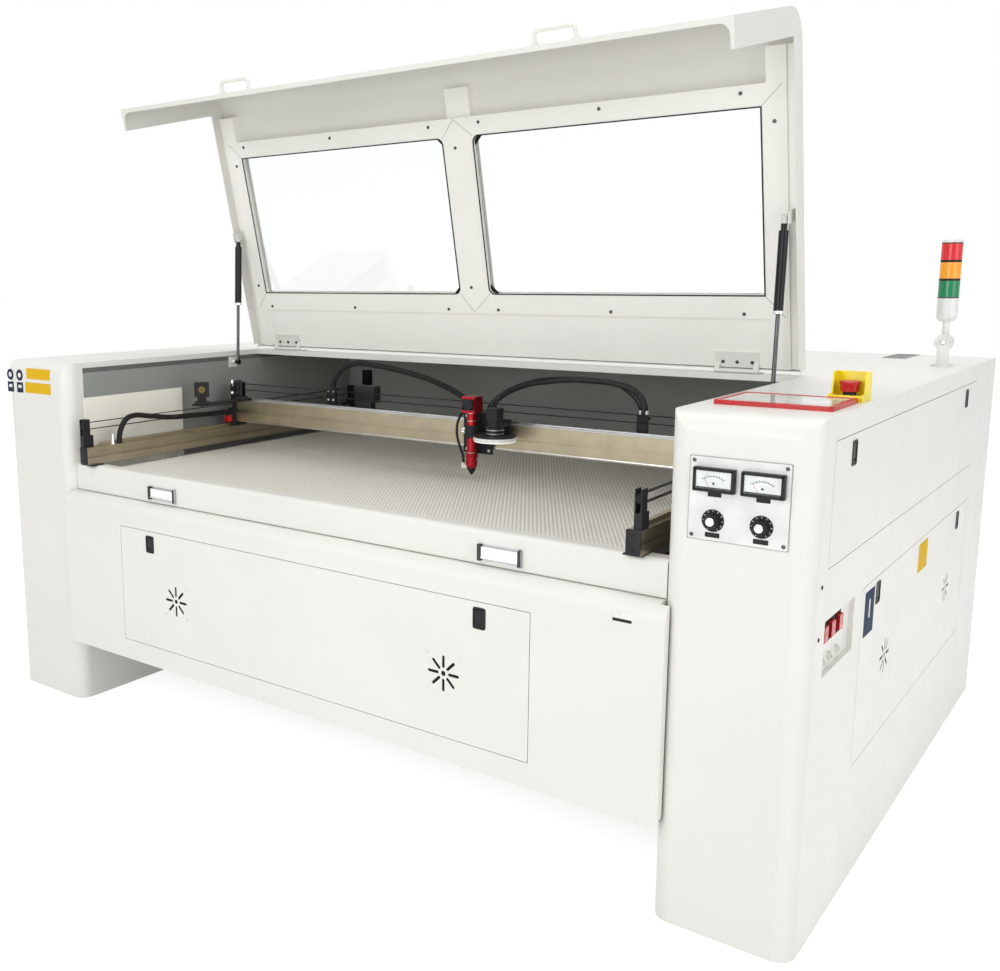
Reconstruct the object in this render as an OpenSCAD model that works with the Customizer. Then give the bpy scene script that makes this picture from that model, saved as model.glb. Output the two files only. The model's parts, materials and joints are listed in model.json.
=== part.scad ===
// Laser cutting machine with a camera on its head.
// Origin: centre of the footprint, on the floor. X to the right, Y to the back, Z up. Millimetres.
// The lid is drawn open, as it stands when the table is loaded.

/* [Body] */
// Overall width over both cabinets
body_w = 2400; // [2300:10:2600]
// Overall depth of the cabinets, front face to back
body_d = 1720; // [1600:10:1850]
// Height of the cabinet tops above the floor
body_h = 1020; // [1000:5:1060]
// Width of the left cabinet
left_w = 297; // [280:1:310]
// Width of the right cabinet
right_w = 275; // [270:1:300]
// Radius of the rounded cabinet edges
edge_r = 38; // [30:1:45]
// Thickness of the painted sheet
sheet = 2; // [1.5:0.5:3]

/* [Front] */
// How far the middle front panel stands proud of the cabinets
panel_proud = 20; // [15:1:25]
// Height of the front panel's lower edge above the floor
panel_low = 196; // [180:1:210]
// Height of the seam between the front panel and the ledge
seam_h = 650; // [640:1:660]
// Height of the ledge's top edge
ledge_h = 728; // [720:1:735]

/* [Lid] */
// Angle that the lid stands open
lid_open = 77; // [70:1:80]
// Height of the closed lid's top above the cabinet tops
lid_rise = 45; // [42:1:50]
// Distance of the lid's hinge axis behind the cabinet fronts
lid_axis_y = 792; // [780:1:820]
// Radius of the bend between the lid's top and its visor
lid_fold_r = 72; // [55:1:85]

/* [Gantry] */
// Distance of the beam's front face behind the cabinet fronts
beam_y = 600; // [560:5:700]
// Distance of the laser head from the left side of the machine
head_x = 1330; // [700:5:1700]
// Height of the honeycomb table's surface
table_h = 715; // [710:1:720]

/* [Quality] */
// Facets on round parts
round_fn = 48; // [32:8:96]

/* [Hidden] */
$fn = round_fn;
fit = 0.05;
gap = 0.4;
play = 1.5;

front_y = -(body_d - panel_proud) / 2;
back_y = front_y + body_d;
panel_y = front_y - panel_proud;

function from_left(d) = -body_w / 2 + d;
function from_right(d) = body_w / 2 - d;
function from_front(d) = front_y + d;

inner_l = from_left(left_w);
inner_r = from_right(right_w);
inner_w = inner_r - inner_l;
mid_x = (inner_l + inner_r) / 2;

rim_drop = 16;
rear_top_y = from_front(lid_axis_y - 2);

white = [0.94, 0.94, 0.93];
dark = [0.13, 0.14, 0.15];
slate = [0.22, 0.25, 0.27];
steel = [0.75, 0.76, 0.78];
gold = [0.62, 0.56, 0.42];
red = [0.75, 0.08, 0.10];
black = [0.04, 0.04, 0.04];

// ---------- shared shapes ----------

// Bar along X with a quarter round between its front and its top
module top_rounded_x(w, d, h, r) {
  union() {
    translate([0, r, 0]) cube([w, d - r, h]);
    cube([w, d, h - r]);
    translate([0, r, h - r]) rotate([0, 90, 0]) cylinder(r = r, h = w);
  }
}

// Block with both front corners rounded, seen from above
module front_rounded_z(w, d, h, r) {
  union() {
    translate([0, r, 0]) cube([w, d - r, h]);
    translate([r, 0, 0]) cube([w - 2 * r, d, h]);
    for (x = [r, w - r]) translate([x, r, 0]) cylinder(r = r, h = h);
  }
}

// Plate standing in the XZ plane, its corners rounded, thickness t along +Y
module rounded_plate_xz(w, h, t, r) {
  union() {
    translate([r, 0, 0]) cube([w - 2 * r, t, h]);
    translate([0, 0, r]) cube([w, t, h - 2 * r]);
    for (x = [r, w - r], z = [r, h - r])
      translate([x, t, z]) rotate([90, 0, 0]) cylinder(r = r, h = t);
  }
}

// Plate lying flat, its corners rounded
module rounded_plate_xy(w, d, t, r) {
  union() {
    translate([r, 0, 0]) cube([w - 2 * r, d, t]);
    translate([0, r, 0]) cube([w, d - 2 * r, t]);
    for (x = [r, w - r], y = [r, d - r]) translate([x, y, 0]) cylinder(r = r, h = t);
  }
}

module cabinet_form(w, d, h, r) {
  intersection() {
    front_rounded_z(w, d, h, r);
    top_rounded_x(w, d, h, r);
  }
}

// Hollow cabinet, open below inside a turned-in foot flange
module cabinet_shell(w) {
  foot = 30;
  difference() {
    cabinet_form(w, body_d, body_h, edge_r);
    difference() {
      translate([sheet, sheet, -1])
        cabinet_form(w - 2 * sheet, body_d - 2 * sheet, body_h - sheet + 1, edge_r - sheet);
      difference() {
        translate([0, 0, -2]) cube([w, body_d, 3 + 2]);
        translate([foot, foot, -3]) cube([w - 2 * foot, body_d - 2 * foot, 10]);
      }
    }
  }
}

// Star vent: a ring of radial slots round a hole, cut along Y
module star_vent(depth) {
  slots = 8;
  rotate([90, 0, 0]) translate([0, 0, -depth]) {
    cylinder(r = 6, h = 2 * depth);
    for (i = [0:slots - 1]) rotate([0, 0, i * 360 / slots]) {
      translate([16, -3.5, 0]) cube([22, 7, 2 * depth]);
      translate([16, 0, 0]) cylinder(r = 3.5, h = 2 * depth);
      translate([38, 0, 0]) cylinder(r = 3.5, h = 2 * depth);
    }
  }
}

// ---------- cabinets and covers ----------

module left_cabinet() {
  color(white) translate([from_left(0), front_y, 0]) cabinet_shell(left_w);
}

hatch_y = 85;
hatch_len = body_d - 373;
hatch_z = body_h - 279;
hatch_h = 234;
door_side_y = 350;
door_side_len = body_d - 620;
door_side_z = 262;
door_side_h = 382;
switch_y = 88;
switch_len = 200;
switch_z = 536;
switch_h = 107;
switch_deep = 12;
plate_x = body_w - right_w + 46;
plate_w = 183;
plate_z = body_h - 235;
plate_h = 155;

module right_cabinet() {
  color(white) difference() {
    translate([inner_r, front_y, 0]) cabinet_shell(right_w);
    translate([from_right(sheet + 1), from_front(hatch_y), hatch_z]) cube([sheet + 2, hatch_len, hatch_h]);
    translate([from_right(sheet + 1), from_front(door_side_y), door_side_z])
      cube([sheet + 2, door_side_len, door_side_h]);
    translate([from_right(sheet + 1), from_front(switch_y), switch_z]) cube([sheet + 2, switch_len,
        switch_h]);
    translate([from_left(plate_x + 12), front_y - 1, plate_z + 12]) cube([plate_w - 24, sheet + 2,
        plate_h - 24]);
    translate([estop_x, estop_y, body_h - sheet - 1]) cylinder(r = 11, h = sheet + 2);
    translate([tower_x, tower_y, body_h - sheet - 1]) cylinder(r = 10, h = sheet + 2);
  }
  color(white) on_right_side(hatch_y, hatch_z) leaf_pins(hatch_len, sheet);
  color(white) on_right_side(door_side_y, door_side_z) leaf_pins(door_side_len, sheet);
}

// Fixed top over the rear half, folded down at the back
module rear_cover() {
  color(white) union() {
    translate([inner_l, rear_top_y, body_h - sheet]) cube([inner_w, back_y - rear_top_y, sheet]);
    translate([inner_l, rear_top_y, body_h - rim_drop]) cube([inner_w, sheet, rim_drop]);
    translate([inner_l, back_y - sheet, panel_low]) cube([inner_w, sheet, body_h - panel_low]);
  }
}

// Floor of the middle section, its edges turned up against the cabinets, with two tube stands
pan_lip = 25;

module floor_pan() {
  post_d = 50;
  color(white) union() {
    for (x = [laser_x0 + 200, laser_x0 + laser_len - 250]) difference() {
      translate([from_left(x), from_front(laser_y) - post_d, panel_low + sheet])
        cube([50, 2 * post_d, laser_z - panel_low - sheet]);
      translate([from_left(x) - 1, from_front(laser_y), laser_z]) rotate([0, 90, 0])
          cylinder(r = laser_r + fit, h = 52);
      translate([from_left(x) - 1, from_front(laser_y) - post_d + 4, panel_low + 2 * sheet])
        cube([52, 2 * post_d - 8, laser_z - laser_r - panel_low - 30]);
    }
    translate([inner_l, front_y, panel_low]) cube([inner_w, body_d - sheet, sheet]);
    for (x = [inner_l, inner_r - sheet]) translate([x, front_y + edge_r, panel_low])
      cube([sheet, body_d - edge_r - sheet, pan_lip]);
  }
}

wall_t = 1.5;
wall_low = table_h - 75;
wall_top = body_h - rim_drop;
bulkhead_y = body_d - 430;

// Dark inner walls round the table: both sides and the bulkhead before the laser tube
module inner_walls() {
  front = ledge_y + ledge_d;
  low = panel_low + pan_lip;
  color(slate) union() {
    for (x = [inner_l, inner_r - wall_t]) translate([x, from_front(front), wall_low])
      cube([wall_t, bulkhead_y - front, wall_top - wall_low]);
    difference() {
      translate([inner_l, from_front(bulkhead_y), low]) cube([inner_w, wall_t, body_h - sheet - low]);
      translate([inner_l + 60, from_front(bulkhead_y - 1), beam_low + 60]) cube([50, wall_t + 2, 60]);
    }
  }
}

// ---------- middle front ----------

panel_over = 6;
panel_over_r = 18;
panel_x0 = inner_l - panel_over;
panel_x1 = inner_r + panel_over_r;
panel_w = panel_x1 - panel_x0;
panel_r = 34;
panel_top_y = panel_y + panel_r;
door_x = left_w + 245;
door_w = inner_w - 516;
door_z = 253;
door_h = 330;
seam_run = 45;

// Side view of the stiffeners behind the front panel: their edge runs inside the sheet and its bend
module panel_profile() {
  inset = sheet / 2;
  union() {
    translate([panel_y + inset, panel_low]) square([panel_r, seam_h - panel_r - panel_low]);
    translate([panel_top_y, panel_low]) square([seam_run, seam_h - inset - panel_low]);
    translate([panel_top_y, seam_h - panel_r]) circle(r = panel_r - inset);
  }
}

module front_panel() {
  low_r = 25;
  stiff_low = panel_low + 40;
  color(white) difference() {
    intersection() {
      union() {
        translate([panel_x0, panel_y, panel_low]) cube([panel_w, sheet, seam_h - panel_r - panel_low]);
        for (x = [panel_x0, panel_x1 - sheet]) along_x(x, sheet) intersection() {
          panel_profile();
          translate([panel_y, panel_low]) square([panel_proud - gap, seam_h - panel_low]);
        }
        translate([panel_x0, panel_top_y, seam_h - panel_r]) difference() {
          rotate([0, 90, 0]) cylinder(r = panel_r, h = panel_w);
          translate([-1, 0, 0]) rotate([0, 90, 0]) cylinder(r = panel_r - sheet, h = panel_w + 2);
          translate([-1, 0, -panel_r - 1]) cube([panel_w + 2, panel_r + 1, 2 * panel_r + 2]);
          translate([-1, -panel_r - 1, -panel_r - 1]) cube([panel_w + 2, 2 * panel_r + 2, panel_r + 1]);
        }
        translate([inner_l, panel_top_y, seam_h - sheet]) cube([inner_w, seam_run, sheet]);
        for (x = [inner_l, inner_r - sheet]) along_x(x, sheet) intersection() {
          panel_profile();
          translate([panel_y, stiff_low]) square([seam_run + panel_r, seam_h - stiff_low]);
        }
        translate([panel_x0, panel_y, panel_low]) cube([panel_w, panel_proud, sheet]);
        translate([from_left(door_x), panel_y, door_z]) leaf_pins(door_w, sheet);
      }
      translate([panel_x0, panel_y - 1, panel_low]) rounded_plate_xz(panel_w, 700, 200, low_r);
    }
    difference() {
      translate([from_left(door_x), panel_y - 1, door_z]) cube([door_w, sheet + 2, door_h]);
      translate([from_left(door_x), panel_y, door_z]) leaf_pins(door_w, sheet);
    }
    for (x = [[panel_x0 - 1, panel_over + 1], [inner_r, panel_over_r + 1]])
      translate([x[0], front_y - gap, seam_h - 2 * panel_r]) cube([x[1], 2 * panel_r, 2 * panel_r + 1]);
  }
}

ledge_y = 25;
ledge_d = 36;
ledge_r = 12;

// Fixed bar in front of the table, folded from one sheet
module front_ledge() {
  low = seam_h + 2;
  h = ledge_h - low;
  color(white) translate([inner_l, from_front(ledge_y), low]) difference() {
    top_rounded_x(inner_w, ledge_d, h, ledge_r);
    translate([-1, sheet, -1]) top_rounded_x(inner_w + 2, ledge_d - 2 * sheet, h - sheet + 1,
        ledge_r - sheet);
  }
}

handle_w = 108;
handle_h = 36;
handle_z = 661;
handle_xs = [left_w + 324, body_w - right_w - 426];
ear_t = 8;

// Seats of the two folding pulls on the ledge
module ledge_handle_plates() {
  color(steel) for (d = handle_xs) translate([from_left(d), from_front(ledge_y), handle_z]) {
    translate([0, -2, 0]) cube([handle_w, 2, handle_h]);
    for (x = [0, handle_w - ear_t]) difference() {
      translate([x, -9, 0]) cube([ear_t, 7, handle_h]);
      translate([x - 1, -5.5, handle_h - 6]) rotate([0, 90, 0]) cylinder(r = 2 + fit, h = ear_t + 2);
    }
  }
}

module ledge_bail(d) {
  w = handle_w - 2 * ear_t - 2 * gap;
  color(steel) translate([from_left(d) + ear_t + gap, from_front(ledge_y) - 5.5, handle_z + handle_h - 6]) {
    translate([-ear_t, 0, 0]) rotate([0, 90, 0]) cylinder(r = 2, h = w + 2 * ear_t);
    translate([0, -1.5, -23]) cube([w, 3, 23]);
    translate([0, 0, -23]) rotate([0, 90, 0]) cylinder(r = 3, h = w);
  }
}

module ledge_bail_left() { ledge_bail(handle_xs[0]); }
module ledge_bail_right() { ledge_bail(handle_xs[1]); }

// ---------- doors and latches ----------

latch_w = 32;
latch_h = 48;
latch_drop = 13;
latch_rim = 3;
paddle_d = 3;
latch_pin_r = 1.5;
latch_pin_y = 3;
latch_pin_z = latch_h - latch_rim - 5;
leaf_pin_r = 2.5;
leaf_pin_y = 6;
leaf_pin_z = 8.5;

// Upright door leaf in the XZ plane: a tray with turned-in edges, latch holes and vents.
// Its outer face is at y = 0 and it turns on pins along its lower edge.
module door_leaf(w, h, latch_xs, vent_xs, vent_z) {
  lip = 12;
  hole_w = latch_w - 2 * latch_rim;
  hole_h = latch_h - 2 * latch_rim;
  ear = 3;
  difference() {
    union() {
      translate([play, 0, play]) cube([w - 2 * play, sheet, h - 2 * play]);
      for (x = [play, w - play - sheet]) translate([x, 0, play]) cube([sheet, lip, h - 2 * play]);
      for (z = [play, h - play - sheet]) translate([play, 0, z]) cube([w - 2 * play, lip, sheet]);
      for (x = [play, w - play - 20]) translate([x, 0, play]) cube([20, lip, 12]);
      for (x = latch_xs, side = [-1, 1]) translate([x + side * (hole_w + ear) / 2 - ear / 2, 0,
          h - latch_drop - 14])
        cube([ear, 6, 10]);
    }
    for (x = latch_xs) translate([x, 0, h - latch_drop - latch_h]) {
      translate([-hole_w / 2, -1, latch_rim]) cube([hole_w, sheet + 2, hole_h]);
      translate([-latch_w, latch_pin_y, latch_pin_z]) rotate([0, 90, 0])
        cylinder(r = latch_pin_r + fit, h = 2 * latch_w);
    }
    for (x = vent_xs) translate([x, 0, vent_z]) star_vent(10);
    translate([0, leaf_pin_y, leaf_pin_z]) rotate([0, 90, 0]) cylinder(r = leaf_pin_r + fit, h = w);
  }
}

// Hinge pins of a door leaf, each on an ear behind the panel that carries it
module leaf_pins(w, panel_t) {
  ear = 4;
  reach = 16;
  for (x = [-ear, w]) translate([x, panel_t, 0]) cube([ear, 12, 16]);
  for (x = [-ear, w - reach]) translate([x, leaf_pin_y, leaf_pin_z]) rotate([0, 90, 0])
    cylinder(r = leaf_pin_r, h = ear + reach);
}

// Latch paddle: it swings out on a cross pin near its top, a tongue stands behind the leaf
module latch_paddle(h) {
  w = latch_w - 2 * latch_rim - 1;
  hub = 3;
  pin = w + 5;
  translate([0, 0, h - latch_drop - latch_h]) union() {
    difference() {
      translate([-w / 2, 0, latch_rim + 0.5]) cube([w, paddle_d, latch_pin_z - latch_rim + 1.5]);
      translate([-w / 2 + 3, 0, latch_rim + 8]) rotate([0, 90, 0]) cylinder(r = 1.6, h = w - 6);
    }
    translate([-w / 2, latch_pin_y, latch_pin_z]) rotate([0, 90, 0]) cylinder(r = hub, h = w);
    translate([-pin / 2, latch_pin_y, latch_pin_z]) rotate([0, 90, 0]) cylinder(r = latch_pin_r, h = pin);
    translate([-5, latch_pin_y, latch_pin_z]) cube([10, 3, 9]);
  }
}

front_latches = [124, door_w - 124];

module front_door() {
  color(white) translate([from_left(door_x), panel_y, door_z])
    door_leaf(door_w, door_h, front_latches, [222, door_w - 216], 149);
}

module front_latch(i) {
  color(black) translate([from_left(door_x) + front_latches[i], panel_y, door_z]) latch_paddle(door_h);
}
module front_latch_left() { front_latch(0); }
module front_latch_right() { front_latch(1); }

// Turns a leaf drawn in the XZ plane so that it faces the machine's right side
module on_right_side(y, z) {
  translate([from_right(0), from_front(y), z]) rotate([0, 0, 90]) children();
}

hatch_latches = [125, hatch_len - 127];
side_latches = [125, door_side_len - 135];

module side_hatch() {
  color(white) on_right_side(hatch_y, hatch_z) door_leaf(hatch_len, hatch_h, hatch_latches, [], 0);
}
module hatch_latch(i) {
  color(black) on_right_side(hatch_y, hatch_z)
    translate([hatch_latches[i], 0, 0]) latch_paddle(hatch_h);
}
module hatch_latch_front() { hatch_latch(0); }
module hatch_latch_rear() { hatch_latch(1); }

module side_door() {
  color(white) on_right_side(door_side_y, door_side_z)
    door_leaf(door_side_len, door_side_h, side_latches, [226, door_side_len - 223], 178);
}
module side_latch(i) {
  color(black) on_right_side(door_side_y, door_side_z)
    translate([side_latches[i], 0, 0]) latch_paddle(door_side_h);
}
module side_latch_front() { side_latch(0); }
module side_latch_rear() { side_latch(1); }

// ---------- lid ----------

lid_axis = [mid_x, from_front(lid_axis_y), body_h + 6];
lid_gap = 3;
lid_l = inner_l + lid_gap;
lid_r = inner_r - lid_gap;
lid_w = lid_r - lid_l;
lid_top = body_h + lid_rise;
lid_front = from_front(-40);
lid_low = seam_h + 1.5;
lid_rear = from_front(lid_axis_y - 1);
cheek_d = 55;
visor_cheek_d = 62;
lip_d = 12;
frame_z = lid_top - 30;

// Carries the closed lid to the angle at which it stands open
module lid_raised() {
  translate(lid_axis) rotate([-lid_open, 0, 0]) translate(-lid_axis) children();
}

// Side view of the lid's outline: top and visor with the bend between them
module lid_outline(inset, extend) {
  union() {
    translate([lid_front + lid_fold_r, lid_low - extend])
      square([lid_rear - lid_front - lid_fold_r + extend, lid_top - inset - lid_low + extend]);
    translate([lid_front + inset, lid_low - extend])
      square([lid_fold_r, lid_top - lid_fold_r - lid_low + extend]);
    translate([lid_front + lid_fold_r, lid_top - lid_fold_r]) circle(r = lid_fold_r - inset);
  }
}

cheek_in_r = 6;

module lid_cheek_form() {
  y = lid_front + visor_cheek_d;
  z = lid_top - cheek_d;
  difference() {
    lid_outline(0, 0);
    translate([y, lid_low - 1]) square([lid_rear - y + 1, z - cheek_in_r - lid_low + 1]);
    translate([y + cheek_in_r, lid_low - 1]) square([lid_rear - y, z - lid_low + 1]);
    translate([y + cheek_in_r, z - cheek_in_r]) circle(r = cheek_in_r);
    translate([lid_rear - 14, lid_low]) square([20, body_h + 5 - lid_low]);
  }
}

// Draws a side view (Y to the right, Z up) as a bar that runs along X
module along_x(x, len) {
  translate([x, 0, 0]) rotate([90, 0, 90]) linear_extrude(len) children();
}

window_in = 81;
window_gap = 100;
window_w = (inner_w - window_in - 87 - window_gap) / 2;
window_y = 164;
window_d = 438;
window_xs = [left_w + window_in, left_w + window_in + window_w + window_gap];
window_r = 18;

// Window opening: square corners outside, round ones beside the middle strip
module window_form(i, grow, z, h) {
  w = window_w + 2 * grow;
  d = window_d + 2 * grow;
  translate([from_left(window_xs[i]) - grow, from_front(window_y) - grow, z]) union() {
    rounded_plate_xy(w, d, h, window_r);
    translate([i * w / 2, 0, 0]) cube([w / 2, d, h]);
  }
}

lip_tab = 8;
lip_fillet = 24;
rear_flange = 27;

// Painted sheet: top, bend, visor, side cheeks, rear flange and the lip on the visor's edge
module lid_skin() {
  color(white) lid_raised() difference() {
    union() {
      along_x(lid_l, lid_w) difference() {
        lid_outline(0, 0);
        lid_outline(sheet, 1);
      }
      for (x = [lid_l, lid_r - sheet]) along_x(x, sheet) lid_cheek_form();
      translate([lid_l, lid_rear - sheet, lid_top - rear_flange]) cube([lid_w, sheet, rear_flange]);
      lid_lip();
    }
    for (i = [0, 1]) window_form(i, 0, lid_top - 10, 20);
  }
}

// Lip on the visor's free edge, widened into tabs at both ends with a round fillet
module lid_lip() {
  x0 = lid_l + lip_tab;
  x1 = lid_r - lip_tab;
  y0 = lid_front + lip_d;
  difference() {
    translate([lid_l, lid_front, lid_low]) cube([lid_w, visor_cheek_d, sheet]);
    translate([x0 + lip_fillet, y0, lid_low - 1]) cube([x1 - x0 - 2 * lip_fillet, 100, sheet + 2]);
    translate([x0, y0 + lip_fillet, lid_low - 1]) cube([x1 - x0, 100, sheet + 2]);
    for (x = [x0 + lip_fillet, x1 - lip_fillet])
      translate([x, y0 + lip_fillet, lid_low - 1]) cylinder(r = lip_fillet, h = sheet + 2);
  }
}

strip_front = 51;
strip_rear = 58;
field_side = 12;
pane_t = 4;
frame_step = 6;
glass_seat = 9;
pane_z = lid_top - 19;
rear_field_z = lid_top - 25;
strut_lid_y = 410;
strut_lid_z = lid_top - 60;
strut_in = 28;
stud_r = 4;

// Welded frame round both windows, with the brackets that hold the gas struts
module lid_frame() {
  top = lid_top - sheet;
  h = top - frame_z;
  x0 = lid_l + sheet;
  x1 = lid_r - sheet;
  win_l = from_left(window_xs[0]);
  win_r = from_left(window_xs[1]) + window_w;
  bar_l = win_l - field_side;
  bar_r = win_r + field_side;
  y_front = window_y - strip_front;
  y_rear = window_y + window_d + strip_rear;
  color(white) lid_raised() difference() {
    union() {
      for (x = [[x0 + 24, bar_l - x0 - 24], [bar_r, x1 - 24 - bar_r]])
        translate([x[0], from_front(36), frame_z]) cube([x[1], lid_axis_y - 42, h]);
      for (x = [x0, x1 - 24]) translate([x, from_front(36), frame_z + frame_step])
        cube([24, lid_axis_y - 42, h - frame_step]);
      translate([bar_l, from_front(y_front), frame_z]) cube([bar_r - bar_l, y_rear - y_front, h]);
      translate([bar_l, from_front(y_rear), rear_field_z])
        cube([bar_r - bar_l, lid_axis_y - 6 - y_rear, top - rear_field_z]);
      translate([mid_x - 38, from_front(36), frame_z + 14]) cube([76, y_front - 36, h - 14]);
    }
    for (i = [0, 1]) {
      window_form(i, 0, frame_z - 1, h + 2);
      window_form(i, glass_seat, pane_z, h);
    }
    translate([0, 0, frame_z + sheet]) {
      for (x = [[x0 + 24 + sheet, bar_l - sheet], [bar_r + sheet, x1 - 24 - sheet]])
        translate([x[0], from_front(36 + sheet), 0]) cube([x[1] - x[0], lid_axis_y - 42 - 2 * sheet, h]);
      for (y = [[y_front + sheet, window_y - glass_seat - sheet],
          [window_y + window_d + glass_seat + sheet, y_rear - sheet]])
        translate([x0 + 24 + sheet, from_front(y[0]), 0]) cube([x1 - x0 - 48 - 2 * sheet, y[1] - y[0], h]);
      translate([from_left(window_xs[0]) + window_w + glass_seat + sheet, from_front(y_front + sheet), 0])
        cube([window_xs[1] - window_xs[0] - window_w - 2 * glass_seat - 2 * sheet,
            y_rear - y_front - 2 * sheet, h]);
    }
    translate([win_l + 20, from_front(y_rear - sheet), rear_field_z + sheet])
      cube([win_r - win_l - 40, lid_axis_y - 6 - y_rear, h]);
    for (x = [x0 + sheet, x1 - 24]) translate([x, from_front(36 + sheet), frame_z + frame_step + sheet])
      cube([24 - 2 * sheet + 1, lid_axis_y - 42 - 2 * sheet, h]);
  }
}

// Side 0 is the left one, side 1 the right
function strut_x(s) = s == 0 ? inner_l + strut_in : inner_r - strut_in;
function strut_sign(s) = s == 0 ? 1 : -1;

module strut_lid_bracket(s) {
  x = strut_x(s) - strut_sign(s) * 12;
  translate([x - 1.5, from_front(strut_lid_y) - 14, strut_lid_z - 10]) cube([3, 28,
      frame_z + frame_step - strut_lid_z + 10]);
  translate([min(x, x + strut_sign(s) * 18), from_front(strut_lid_y), strut_lid_z])
    rotate([0, 90, 0]) cylinder(r = stud_r, h = 18);
}

module strut_brackets_lid() {
  color(white) lid_raised() for (s = [0, 1]) strut_lid_bracket(s);
}

module window_panes() {
  color([0.8, 0.88, 0.9, 0.35]) lid_raised() for (i = [0, 1]) window_form(i, 8, pane_z, pane_t);
}

grip_xs = [left_w + 420, body_w - right_w - 420];
grip_w = 112;
grip_out = 35;
grip_z = 716;
grip_d = 10;
grip_bend = 11;

// Two bow handles on the visor's outer face
module lid_handles() {
  r = grip_d / 2;
  color(white) lid_raised() for (d = grip_xs) translate([from_left(d), lid_front, grip_z]) union() {
    for (x = [-1, 1]) translate([x * (grip_w / 2 - r), 0, 0]) {
      rotate([90, 0, 0]) cylinder(r = r, h = grip_out - r - grip_bend);
      rotate([90, 0, 0]) cylinder(r = 9, h = 3);
      translate([-x * grip_bend, -grip_out + r + grip_bend, 0]) rotate([0, 0, x < 0 ? 180 : 270])
        rotate_extrude(angle = 90) translate([grip_bend, 0]) circle(r = r);
    }
    translate([-grip_w / 2 + r + grip_bend, -grip_out + r, 0]) rotate([0, 90, 0])
      cylinder(r = r, h = grip_w - 2 * r - 2 * grip_bend);
  }
}

hinge_xs = [left_w + 138, body_w - right_w - 161];
hinge_len = 110;
hinge_r = 5.5;
hinge_pin_r = 3;
knuckle = 86;

module hinge_leaves_body() {
  z = lid_axis[2];
  color(steel) for (d = hinge_xs) translate([from_left(d) - hinge_len / 2, 0, 0]) union() {
    translate([0, from_front(lid_axis_y + 8), body_h]) cube([hinge_len, 34, 3]);
    translate([(hinge_len - knuckle) / 2 + gap, 0, 0]) {
      translate([0, from_front(lid_axis_y), z]) rotate([0, 90, 0]) cylinder(r = hinge_r,
          h = knuckle - 2 * gap);
      translate([0, from_front(lid_axis_y), body_h + 0.6]) cube([knuckle - 2 * gap, 12, 2.4]);
    }
    translate([0, from_front(lid_axis_y), z]) rotate([0, 90, 0]) cylinder(r = hinge_pin_r, h = hinge_len);
  }
}

module hinge_leaves_lid() {
  leaf_z = rear_field_z - 3;
  y = from_front(lid_axis_y);
  z = lid_axis[2];
  ears = (hinge_len - knuckle) / 2;
  color(white) lid_raised() for (d = hinge_xs) translate([from_left(d) - hinge_len / 2, 0, 0])
      difference() {
    union() {
      translate([0, y - 46, leaf_z]) cube([hinge_len, 40, 3]);
      for (x = [0, hinge_len - ears]) along_x(x, ears) {
        polygon([[y - 22, leaf_z + 1], [y - 6, leaf_z + 1], [y + 3, z + 4], [y - 4, z - 3]]);
        translate([y, z]) circle(r = hinge_r);
      }
    }
    translate([-1, y, z]) rotate([0, 90, 0]) cylinder(r = hinge_pin_r + fit, h = hinge_len + 2);
  }
}

// ---------- gas struts ----------

strut_low_y = 668;
strut_low_z = body_h - 35;
strut_tube_r = 11;
strut_rod_r = 5;
strut_tube_end = 220;
eye_r = 8;
eye_w = 14;

lid_rel_y = strut_lid_y - lid_axis_y;
lid_rel_z = strut_lid_z - lid_axis[2];
strut_top_y = lid_axis_y + lid_rel_y * cos(lid_open) + lid_rel_z * sin(lid_open);
strut_top_z = lid_axis[2] - lid_rel_y * sin(lid_open) + lid_rel_z * cos(lid_open);
strut_dy = strut_low_y - strut_top_y;
strut_dz = strut_low_z - strut_top_z;
strut_len = sqrt(strut_dy * strut_dy + strut_dz * strut_dz);
strut_lean = atan2(strut_dy, -strut_dz);

// Draws a strut's axis along -Z from its upper pivot
module at_strut(s) {
  translate([strut_x(s), from_front(strut_top_y), strut_top_z]) rotate([strut_lean, 0, 0]) children();
}

module strut_tube(s) {
  at_strut(s) difference() {
    union() {
      translate([-eye_w / 2, 0, 0]) rotate([0, 90, 0]) cylinder(r = eye_r, h = eye_w);
      translate([0, 0, -31]) cylinder(r = 7, h = 26);
      translate([0, 0, -strut_tube_end]) cylinder(r = strut_tube_r, h = strut_tube_end - 30);
    }
    translate([-eye_w, 0, 0]) rotate([0, 90, 0]) cylinder(r = stud_r + fit, h = 2 * eye_w);
    translate([0, 0, -strut_tube_end + 4]) cylinder(r = 8.5, h = strut_tube_end - 4 - 52);
    translate([0, 0, -strut_tube_end - 1]) cylinder(r = strut_rod_r + fit, h = 8);
  }
}

module strut_rod(s) {
  color(black) at_strut(s) difference() {
    union() {
      translate([0, 0, -strut_len]) cylinder(r = strut_rod_r, h = strut_len - strut_tube_end + 10);
      translate([0, 0, -strut_tube_end + 5]) cylinder(r = 8.4, h = 6);
      translate([-eye_w / 2, 0, -strut_len]) rotate([0, 90, 0]) cylinder(r = eye_r, h = eye_w);
    }
    translate([-eye_w, 0, -strut_len]) rotate([0, 90, 0]) cylinder(r = stud_r + fit, h = 2 * eye_w);
  }
}

module strut_tube_left() { color(black) strut_tube(0); }
module strut_rod_left() { strut_rod(0); }
module strut_tube_right() { color(black) strut_tube(1); }
module strut_rod_right() { strut_rod(1); }

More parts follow.
